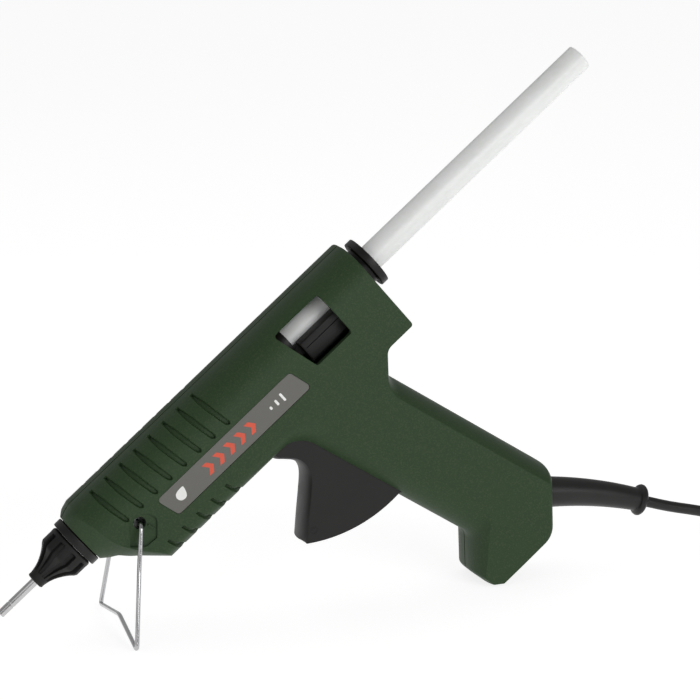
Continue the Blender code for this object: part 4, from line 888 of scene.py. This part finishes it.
def cord_route():
    """The mains cord from the strain relief to the plug: down to the floor, round the coil, and out."""
    cord = bpy.context.scene.gg_cord
    r = cord.radius
    centre, outer, low = coil_sizes()
    end = GUN @ relief_line(RELIEF_LENGTH)[0]
    first = end + Vector((-0.6 * MM, 0, 0.16 * MM))
    ring = outer - r
    spine = [first] + [end + Vector((x, y, z)) * MM for x, y, z in
                       ((12, 0, -4.0), (26, 0, -7.8), (41, 0.2, -12.6), (54, 0.3, -17.3))]
    spine.append(Vector((end.x + 67 * MM, 0.2 * MM, low + 0.9 * MM)))
    stop = sqrt((outer + GAP) ** 2 - (ring - r) ** 2) + MM
    spine.append(Vector((centre.x - stop, centre.y + ring, low)))
    spine.append(centre + Vector((-9 * MM, ring - 0.4 * MM, low)))

    def ease(t):
        t = min(1.0, max(0.0, t))
        return t * t * (3 - 2 * t)

    def around(turn, radius, z):
        a = pi / 2 - turn
        return centre + Vector((radius * cos(a), radius * sin(a), z))

    turns = cord.turns
    per_turn = 24
    high = low + 2 * r
    for layer in range(2):
        for k in range(turns * per_turn):
            whole, part = divmod(k / per_turn, 1.0)
            step = whole + ease((part - 0.84) / 0.16)
            last = whole == turns - 1
            z = low if layer == 0 else high
            if layer == 0:
                radius = ring - 2 * r * (whole if last else step)
                if last:
                    z += 2 * r * (step - whole)
            else:
                radius = ring - 2 * r * (turns - 1) + 2 * r * (whole if last else step)
                if last:
                    z += (2 * r + GAP) * ease((part - 0.765) / 0.12)
            spine.append(around(2 * pi * k / per_turn + 0.001, radius, z))
    top = high + 2 * r + GAP
    spine += [around(radians(turn), ring - inwards * MM, top + rise * MM)
              for turn, inwards, rise in ((0, 0.2, 0.0), (20, 1.0, 0.0), (50, 1.9, 0.0), (80, 2.2, 0.6))]
    spine += [centre + Vector((x, y, z)) * MM
              for x, y, z in ((31.0, -3.0, 13.9), (29.3, -11.0, 15.2), (24.5, -17.4, 16.6))]
    plug = plug_rear()
    spine += [plug + Vector((4.5, 0, 0)) * MM, plug + Vector((-1.2, 0, 0)) * MM]
    return smooth_line(spine, 3)


def plug_rear():
    low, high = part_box("plug_body")
    return Vector((high.x, (low.y + high.y) / 2, (low.z + high.z) / 2))


def build_plug(mats):
    """Flat two-pin plug with a ribbed neck."""
    rear = plug_rear()
    stations = ((0.0, 3.3, 3.1), (0.4, 3.6, 3.4), (6.0, 4.5, 4.3), (9.0, 6.4, 5.2), (12.0, 9.4, 6.2),
                (14.5, 11.6, 6.8), (17.0, 12.4, 7.0), (25.0, 12.8, 7.0), (33.0, 13.0, 7.0), (35.0, 12.7, 6.8),
                (36.0, 12.0, 6.2))
    rings = []
    for x, wide, thick in stations:
        corners = mm((-wide, -thick), (-wide, thick), (wide, thick), (wide, -thick))
        section = fillet(corners, [min(wide, thick) * 0.7 * MM] * 4, radians(9))
        rings.append([rear + Vector((-x * MM, p.x, p.y)) for p in section])
    body = loft(rings)
    face = rear.x - PLUG_LENGTH
    prongs = [(rear.y + side * PRONG_OFFSET, node) for side, node in ((-1, "plug_pin_a"), (1, "plug_pin_b"))]
    sockets = [rod((face + 4 * MM, y, rear.z), (face - MM, y, rear.z), 2.15 * MM, 24) for y, _ in prongs]
    ribs = [box(rear.x + (-5.4 + 1.6 * k) * MM, rear.x + (-4.7 + 1.6 * k) * MM, rear.y - 8 * MM,
                rear.y + 8 * MM, rear.z + low * MM, rear.z + high * MM)
            for low, high in ((3.2, 8.0), (-8.0, -3.2)) for k in range(3)]
    body = carve(body, [merged(sockets), merged(ribs)])
    plug = settle("plug_moulded", body, mats["cord"], "body", ("plug_body",),
                  place=IDENTITY)
    pins = []
    for y, node in prongs:
        profile = [(face + 3.7 * MM, 1e-5), (face + 3.7 * MM, 2.0 * MM), (face - 18.0 * MM, 2.0 * MM),
                   (face - 18.7 * MM, 1.7 * MM), (face - 19.0 * MM, 1.1 * MM), (face - 19.0 * MM, 1e-5)]
        pin = spun(profile[::-1], 40, axis=(1, 0, 0), centre=(0, y, rear.z))
        pins.append(settle(node + "_turned", pin, mats["steel"], "body", (node,),
                           place=IDENTITY))
    return [plug] + pins


def build_tie(mat):
    """A strap round the coil."""
    low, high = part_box("cord_tie")
    centre, outer, _ = coil_sizes()
    inner = 2 * COIL_MEAN - outer
    tall = 4 * bpy.context.scene.gg_cord.radius
    half = (high.y - low.y) / 2
    grow = 0.55 * MM
    thick = 0.7 * MM
    loops = []
    for extra, y in ((grow, -half), (grow + thick, -half), (grow + thick, half), (grow, half)):
        floor, top = COIL_LIFT - min(extra, COIL_LIFT), COIL_LIFT + tall + extra
        near, far = inner - extra, outer + extra
        corners = [Vector(p) for p in ((near, floor), (near, top), (far, top), (far, floor))]
        ring = fillet(corners, [0.5 * MM + extra] * 4, radians(18))
        loops.append([centre + Vector((-p.x, y, p.y)) for p in ring])
    return settle("cord_tie_strap", loft(loops, closed=True), mat, "body", ("cord_tie",),
                  place=IDENTITY)


def build_cord(mats):
    cord = bpy.context.scene.gg_cord
    route = cord_route()
    curve = bpy.data.curves.new("mains_cord_round", "CURVE")
    curve.dimensions = "3D"
    curve.bevel_depth = cord.radius
    curve.bevel_resolution = 4
    curve.use_fill_caps = True
    spline = curve.splines.new("POLY")
    spline.points.add(len(route) - 1)
    for slot, p in zip(spline.points, route):
        slot.co = (*p, 1.0)
    spline.use_smooth = True
    curve.materials.append(mats["cord"])
    obj = placed("mains_cord_round", curve)
    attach(obj, "body")
    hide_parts("mains_cord", "cord_coil", "cord_tail")
    pieces = build_plug(mats) + [build_tie(mats["black"])]


# ---- materials

def add_node(nodes, kind, **inputs):
    node = nodes.new(kind)
    for socket, value in inputs.items():
        node.inputs[socket].default_value = value
    return node


def add_range(nodes, low, high, start, end):
    return add_node(nodes, "ShaderNodeMapRange",
                    **{"From Min": low, "From Max": high, "To Min": start, "To Max": end})


class Finish:
    """A node material under construction, its patterns laid out in the gun's own frame."""

    def __init__(self, name, colour, roughness, metallic=0.0):
        self.mat = bpy.data.materials.new(name)
        self.mat.use_nodes = True
        self.nodes = self.mat.node_tree.nodes
        self.links = self.mat.node_tree.links
        self.shader = self.nodes["Principled BSDF"]
        self.set("Base Color", (*colour, 1.0))
        self.set("Roughness", roughness)
        self.set("Metallic", metallic)
        self.colour = colour
        self.bumps = None
        coords = self.nodes.new("ShaderNodeTexCoord")
        self.where = self.nodes.new("ShaderNodeMapping")
        self.where.vector_type = "POINT"
        self.where.inputs["Rotation"].default_value = WORLD_TO_GUN.to_euler()
        self.where.inputs["Location"].default_value = WORLD_TO_GUN.translation
        self.links.new(coords.outputs["Object"], self.where.inputs["Vector"])

    def set(self, socket, value):
        self.shader.inputs[socket].default_value = value
        return self

    def noise(self, scale, detail=2.0, rough=0.5, stretch=(1, 1, 1)):
        node = add_node(self.nodes, "ShaderNodeTexNoise", Scale=scale, Detail=detail, Roughness=rough)
        source = self.where.outputs["Vector"]
        if stretch != (1, 1, 1):
            squash = self.nodes.new("ShaderNodeVectorMath")
            squash.operation = "MULTIPLY"
            squash.inputs[1].default_value = stretch
            self.links.new(source, squash.inputs[0])
            source = squash.outputs["Vector"]
        self.links.new(source, node.inputs["Vector"])
        return node.outputs["Fac"]

    def ramp(self, value, low, high, start, end):
        node = add_range(self.nodes, low, high, start, end)
        self.links.new(value, node.inputs["Value"])
        return node.outputs["Result"]

    def tint(self, share, other):
        """Mix another colour over what is there, by the given share."""
        node = self.nodes.new("ShaderNodeMix")
        node.data_type = "RGBA"
        base = self.shader.inputs["Base Color"]
        if base.is_linked:
            self.links.new(base.links[0].from_socket, node.inputs["A"])
        else:
            node.inputs["A"].default_value = base.default_value
        node.inputs["B"].default_value = (*other, 1.0)
        self.links.new(share, node.inputs["Factor"])
        self.links.new(node.outputs["Result"], base)
        return self

    def vary_roughness(self, value, start, end):
        self.links.new(self.ramp(value, 0.3, 0.7, start, end), self.shader.inputs["Roughness"])
        return self

    def bump(self, height, strength, distance):
        node = add_node(self.nodes, "ShaderNodeBump", Strength=strength, Distance=distance)
        self.links.new(height, node.inputs["Height"])
        if self.bumps:
            self.links.new(self.bumps, node.inputs["Normal"])
        self.bumps = node.outputs["Normal"]
        self.links.new(self.bumps, self.shader.inputs["Normal"])
        return self


def casing_finish(colours):
    """Spark-eroded moulding: fine pits and flecks over slow changes of shade."""
    f = Finish("green_moulding", tuple(colours.casing), 0.5)
    fine = f.noise(2600, 2.0, 0.6)
    speck = f.noise(1500, 1.0, 0.5)
    slow = f.noise(26, 3.0, 0.6)
    f.tint(f.ramp(speck, 0.5, 0.72, 0.0, 0.75), tuple(colours.casing_fleck))
    f.tint(f.ramp(slow, 0.35, 0.75, 0.0, 0.28), tuple(c * 1.35 for c in colours.casing))
    f.vary_roughness(slow, 0.46, 0.58)
    f.bump(fine, 0.32, 0.00009)
    f.bump(speck, 0.22, 0.00012)
    f.set("Specular IOR Level", 0.22)
    return f.mat


def black_finish(name, colour, roughness, grain):
    f = Finish(name, colour, roughness)
    fine = f.noise(2200, 2.0, 0.6)
    slow = f.noise(60, 3.0, 0.6)
    f.tint(f.ramp(slow, 0.4, 0.8, 0.0, 0.5), tuple(c * 1.9 for c in colour))
    f.vary_roughness(slow, roughness - 0.06, roughness + 0.08)
    f.bump(fine, grain, 0.00008)
    f.set("Specular IOR Level", 0.28)
    return f.mat


def glue_finish(colours):
    """Cloudy glue, lit through, with faint lengthwise flow lines."""
    f = Finish("hot_melt_glue", tuple(colours.stick), 0.33)
    lines = f.noise(420, 3.0, 0.55, (0.03, 1, 1))
    cloud = f.noise(90, 3.0, 0.6, (0.35, 1, 1))
    f.tint(f.ramp(cloud, 0.35, 0.75, 0.0, 0.5), (0.70, 0.71, 0.69))
    f.vary_roughness(lines, 0.27, 0.42)
    f.bump(lines, 0.12, 0.0001)
    f.set("Subsurface Weight", 0.35)
    f.set("Subsurface Radius", (1.0, 1.0, 0.9))
    f.set("Subsurface Scale", 0.004)
    f.set("IOR", 1.48)
    return f.mat


def metal_finish(name, colour, roughness, stretch, scratch=0.1):
    f = Finish(name, colour, roughness, 1.0)
    brush = f.noise(900, 3.0, 0.6, stretch)
    slow = f.noise(120, 2.0, 0.5)
    f.vary_roughness(brush, max(0.03, roughness - 0.07), roughness + 0.1)
    f.tint(f.ramp(slow, 0.4, 0.8, 0.0, 0.25), tuple(c * 0.7 for c in colour))
    f.bump(brush, scratch, 0.00003)
    return f.mat


def plain_finish(name, colour, roughness, scale, grain, dark=0.75):
    """A worked surface with fine grain and a slow change of shade."""
    f = Finish(name, colour, roughness)
    slow = f.noise(scale, 3.0, 0.6)
    fine = f.noise(scale * 14, 2.0, 0.6)
    f.tint(f.ramp(slow, 0.35, 0.75, 0.0, 0.5), tuple(c * dark for c in colour))
    f.vary_roughness(slow, roughness - 0.05, roughness + 0.07)
    f.bump(fine, grain, 0.00006)
    return f.mat


def woven_finish():
    """Braided glass sleeving of the heater's leads."""
    f = Finish("braided_sleeving", (0.72, 0.71, 0.67), 0.75)
    wave = add_node(f.nodes, "ShaderNodeTexWave", Scale=900, Distortion=3.0)
    f.links.new(f.where.outputs["Vector"], wave.inputs["Vector"])
    f.tint(f.ramp(wave.outputs["Fac"], 0.2, 0.8, 0.0, 0.5), (0.5, 0.49, 0.45))
    f.bump(wave.outputs["Fac"], 0.5, 0.0001)
    return f.mat


def make_finishes():
    colours = bpy.context.scene.gg_colours
    black = tuple(colours.black)
    return {
        "casing": casing_finish(colours),
        "black": black_finish("black_moulding", black, 0.42, 0.2),
        "trigger": black_finish("trigger_moulding", tuple(c * 1.15 for c in black), 0.46, 0.28),
        "sleeve": black_finish("heatproof_sleeve", tuple(c * 0.95 for c in black), 0.5, 0.25),
        "cord": black_finish("cord_rubber", (0.015, 0.0145, 0.014), 0.38, 0.1),
        "glue": glue_finish(colours),
        "chrome": metal_finish("bright_wire", (0.50, 0.50, 0.51), 0.16, (1, 1, 1), 0.0),
        "steel": metal_finish("turned_steel", (0.56, 0.56, 0.56), 0.24, (6, 0.4, 0.4), 0.15),
        "aluminium": metal_finish("cast_aluminium", (0.68, 0.69, 0.70), 0.42, (1, 1, 1), 0.3),
        "brass": metal_finish("brass_sheet", (0.72, 0.5, 0.2), 0.3, (0.3, 4, 1), 0.12),
        "label": plain_finish("label_film", tuple(colours.label), 0.36, 50, 0.06, 0.92),
        "print_white": plain_finish("white_print", (0.78, 0.78, 0.76), 0.45, 90, 0.05, 0.9),
        "print_accent": plain_finish("accent_print", tuple(colours.accent), 0.42, 90, 0.05, 0.88),
        "silicone": plain_finish("silicone_tube", (0.42, 0.075, 0.05), 0.55, 70, 0.15),
        "ceramic": plain_finish("heater_ceramic", (0.72, 0.70, 0.64), 0.6, 80, 0.2),
        "leads": woven_finish(),
    }


KEPT_NODES = {
    "melt_chamber": "aluminium", "contact_upper": "brass", "contact_lower": "brass", "ptc_heater": "ceramic",
    "feed_tube": "silicone", "tube_band": "steel", "grip_jaw": "steel", "jaw_pin": "steel",
    "trigger_pin": "steel", "return_spring": "steel", "cord_inner": "cord", "cord_clamp": "black",
    "clamp_screw_1": "steel", "clamp_screw_2": "steel", "lead_live": "leads", "lead_neutral": "leads",
}

MATS = {}


def dress_frame(mats):
    """Give the CAD nodes that stay their finishes."""
    for node, key in KEPT_NODES.items():
        obj = frame["nodes"][node]
        obj.data.materials.clear()
        obj.data.materials.append(mats[key])


# ---- stage

def stage_light(name, kind, place, target, size, power, colour=(1, 1, 1)):
    data = bpy.data.lights.new(name, kind)
    data.energy = power
    data.color = colour
    data.shape = "RECTANGLE"
    data.size, data.size_y = size
    obj = placed(name, data)
    obj.location = place
    obj.rotation_euler = (Vector(target) - Vector(place)).to_track_quat("-Z", "Y").to_euler()
    return obj


def build_stage():
    stage = bpy.context.scene.gg_stage
    scene = bpy.context.scene
    view = Matrix(((0.71562, 0.69174, 0.09684), (-0.31602, 0.19701, 0.92807), (-0.62291, 0.69475, -0.35960)))
    right, up, ahead = (TURN @ view.col[i] for i in range(3))
    target = GUN @ (Vector((131.3, 0.0, -22.0)) * MM)
    place = target - ahead * stage.distance
    camera_data = bpy.data.cameras.new("camera")
    camera_data.lens = stage.lens
    camera_data.sensor_width = 36.0
    camera_data.clip_start = 0.01
    camera_data.clip_end = 60.0
    camera = placed("camera", camera_data)
    camera.matrix_world = Matrix.Translation(place) @ Matrix((right, up, -ahead)).transposed().to_4x4()
    scene.camera = camera

    half = stage.floor_size / 2
    bm = bmesh.new()
    bmesh.ops.create_grid(bm, x_segments=2, y_segments=2, size=half)
    bmesh.ops.translate(bm, vec=(0, 0, -0.0002), verts=bm.verts)
    floor = placed("floor", as_mesh("floor", bm))
    paper = Finish("pale_floor", (0.46, 0.46, 0.46), 0.9)
    paper.set("Emission Color", (1.0, 1.0, 1.0, 1.0))
    paper.set("Specular IOR Level", 0.0)
    paper.set("Emission Strength", 0.80)
    floor.data.materials.append(paper.mat)

    world = bpy.data.worlds.new("studio")
    scene.world = world
    world.use_nodes = True
    sky = world.node_tree.nodes["Background"]
    sky.inputs["Color"].default_value = (1.0, 1.0, 1.0, 1.0)
    direction = world.node_tree.nodes.new("ShaderNodeTexCoord")
    split = world.node_tree.nodes.new("ShaderNodeSeparateXYZ")
    shade = add_range(world.node_tree.nodes, -0.9, 0.9, 0.2, 0.46)
    world.node_tree.links.new(direction.outputs["Generated"], split.inputs["Vector"])
    world.node_tree.links.new(split.outputs["Y"], shade.inputs["Value"])
    world.node_tree.links.new(shade.outputs["Result"], sky.inputs["Strength"])
    stage_light("key", "AREA", (0.45, -1.25, 0.5), (0.0, 0.0, 0.08), (0.8, 0.5), 7.0)
    stage_light("fill", "AREA", (-1.1, -0.8, 0.5), (0.0, 0.0, 0.08), (1.0, 0.8), 2.0)
    stage_light("top", "AREA", (-0.2, 0.6, 1.3), (0.0, 0.0, 0.08), (1.0, 1.0), 1.5)
    scene.view_settings.view_transform = "Standard"
    scene.view_settings.look = "None"


# ---- operators

class GG_OT_stage(bpy.types.Operator):
    """Set up the camera, the lights and the pale floor"""
    bl_idname = "glue_gun.stage"
    bl_label = "Stage"

    def execute(self, context):
        build_stage()
        return {"FINISHED"}


class GG_OT_finishes(bpy.types.Operator):
    """Make the materials and put them on the frame's own pieces"""
    bl_idname = "glue_gun.finishes"
    bl_label = "Finishes"

    def execute(self, context):
        MATS.update(make_finishes())
        dress_frame(MATS)
        return {"FINISHED"}


class GG_OT_cord(bpy.types.Operator):
    """Lay the mains cord, its coil, plug and tie"""
    bl_idname = "glue_gun.cord"
    bl_label = "Mains cord"

    def execute(self, context):
        build_cord(MATS)
        build_relief(MATS["cord"])
        return {"FINISHED"}


class GG_OT_casing(bpy.types.Operator):
    """Mould both halves of the casing"""
    bl_idname = "glue_gun.casing"
    bl_label = "Casing"

    def execute(self, context):
        build_casing(-1, "casing_near_shell", MATS["casing"])
        build_casing(1, "casing_far_shell", MATS["casing"])
        return {"FINISHED"}


class GG_OT_label(bpy.types.Operator):
    """Lay the label strip and its print"""
    bl_idname = "glue_gun.label"
    bl_label = "Label"

    def execute(self, context):
        build_label(MATS)
        return {"FINISHED"}


class GG_OT_nose(bpy.types.Operator):
    """Turn the nozzle, its ribbed sleeve and the nose ring"""
    bl_idname = "glue_gun.nose"
    bl_label = "Nose"

    def execute(self, context):
        build_nose_ring(MATS["black"])
        build_sleeve(MATS["sleeve"])
        build_nozzle(MATS["steel"])
        return {"FINISHED"}


class GG_OT_feed(bpy.types.Operator):
    """Make the glue stick, the collar it enters by and the carriage that feeds it"""
    bl_idname = "glue_gun.feed"
    bl_label = "Stick and feed"

    def execute(self, context):
        build_stick(MATS["glue"])
        build_collar(MATS["black"])
        build_carriage(MATS["black"])
        return {"FINISHED"}


class GG_OT_trigger(bpy.types.Operator):
    """Mould the trigger"""
    bl_idname = "glue_gun.trigger"
    bl_label = "Trigger"

    def execute(self, context):
        build_trigger(MATS["trigger"])
        return {"FINISHED"}


class GG_OT_stand(bpy.types.Operator):
    """Bend the wire stand"""
    bl_idname = "glue_gun.stand"
    bl_label = "Wire stand"

    def execute(self, context):
        build_stand(MATS["chrome"])
        return {"FINISHED"}


class GG_OT_screws(bpy.types.Operator):
    """Make the casing screws with their cross recesses"""
    bl_idname = "glue_gun.screws"
    bl_label = "Screws"

    def execute(self, context):
        build_screws(MATS["steel"])
        return {"FINISHED"}


STEPS = (GG_OT_stage, GG_OT_finishes, GG_OT_cord, GG_OT_casing, GG_OT_label, GG_OT_nose, GG_OT_feed,
         GG_OT_trigger, GG_OT_stand, GG_OT_screws)


class GG_PT_panel(bpy.types.Panel):
    """Lists the steps that build the gun"""
    bl_label = "Glue Gun"
    bl_idname = "GG_PT_panel"
    bl_space_type = "VIEW_3D"
    bl_region_type = "UI"
    bl_category = "Glue Gun"

    def draw(self, context):
        for step in STEPS:
            self.layout.operator(step.bl_idname)
        for name, group in SETTINGS.items():
            column = self.layout.column(align=True)
            for prop in group.__annotations__:
                column.prop(getattr(context.scene, name), prop)


def register():
    for group in SETTINGS.values():
        bpy.utils.register_class(group)
    for name, group in SETTINGS.items():
        setattr(bpy.types.Scene, name, PointerProperty(type=group))
    for step in STEPS + (GG_PT_panel,):
        bpy.utils.register_class(step)


def unregister():
    for step in reversed(STEPS + (GG_PT_panel,)):
        bpy.utils.unregister_class(step)
    for name, group in SETTINGS.items():
        delattr(bpy.types.Scene, name)
        bpy.utils.unregister_class(group)


def main():
    register()
    bpy.ops.glue_gun.stage()
    bpy.ops.glue_gun.finishes()
    bpy.ops.glue_gun.cord()
    bpy.ops.glue_gun.casing()
    bpy.ops.glue_gun.label()
    bpy.ops.glue_gun.nose()
    bpy.ops.glue_gun.feed()
    bpy.ops.glue_gun.trigger()
    bpy.ops.glue_gun.stand()
    bpy.ops.glue_gun.screws()


if __name__ == "__main__":
    main()
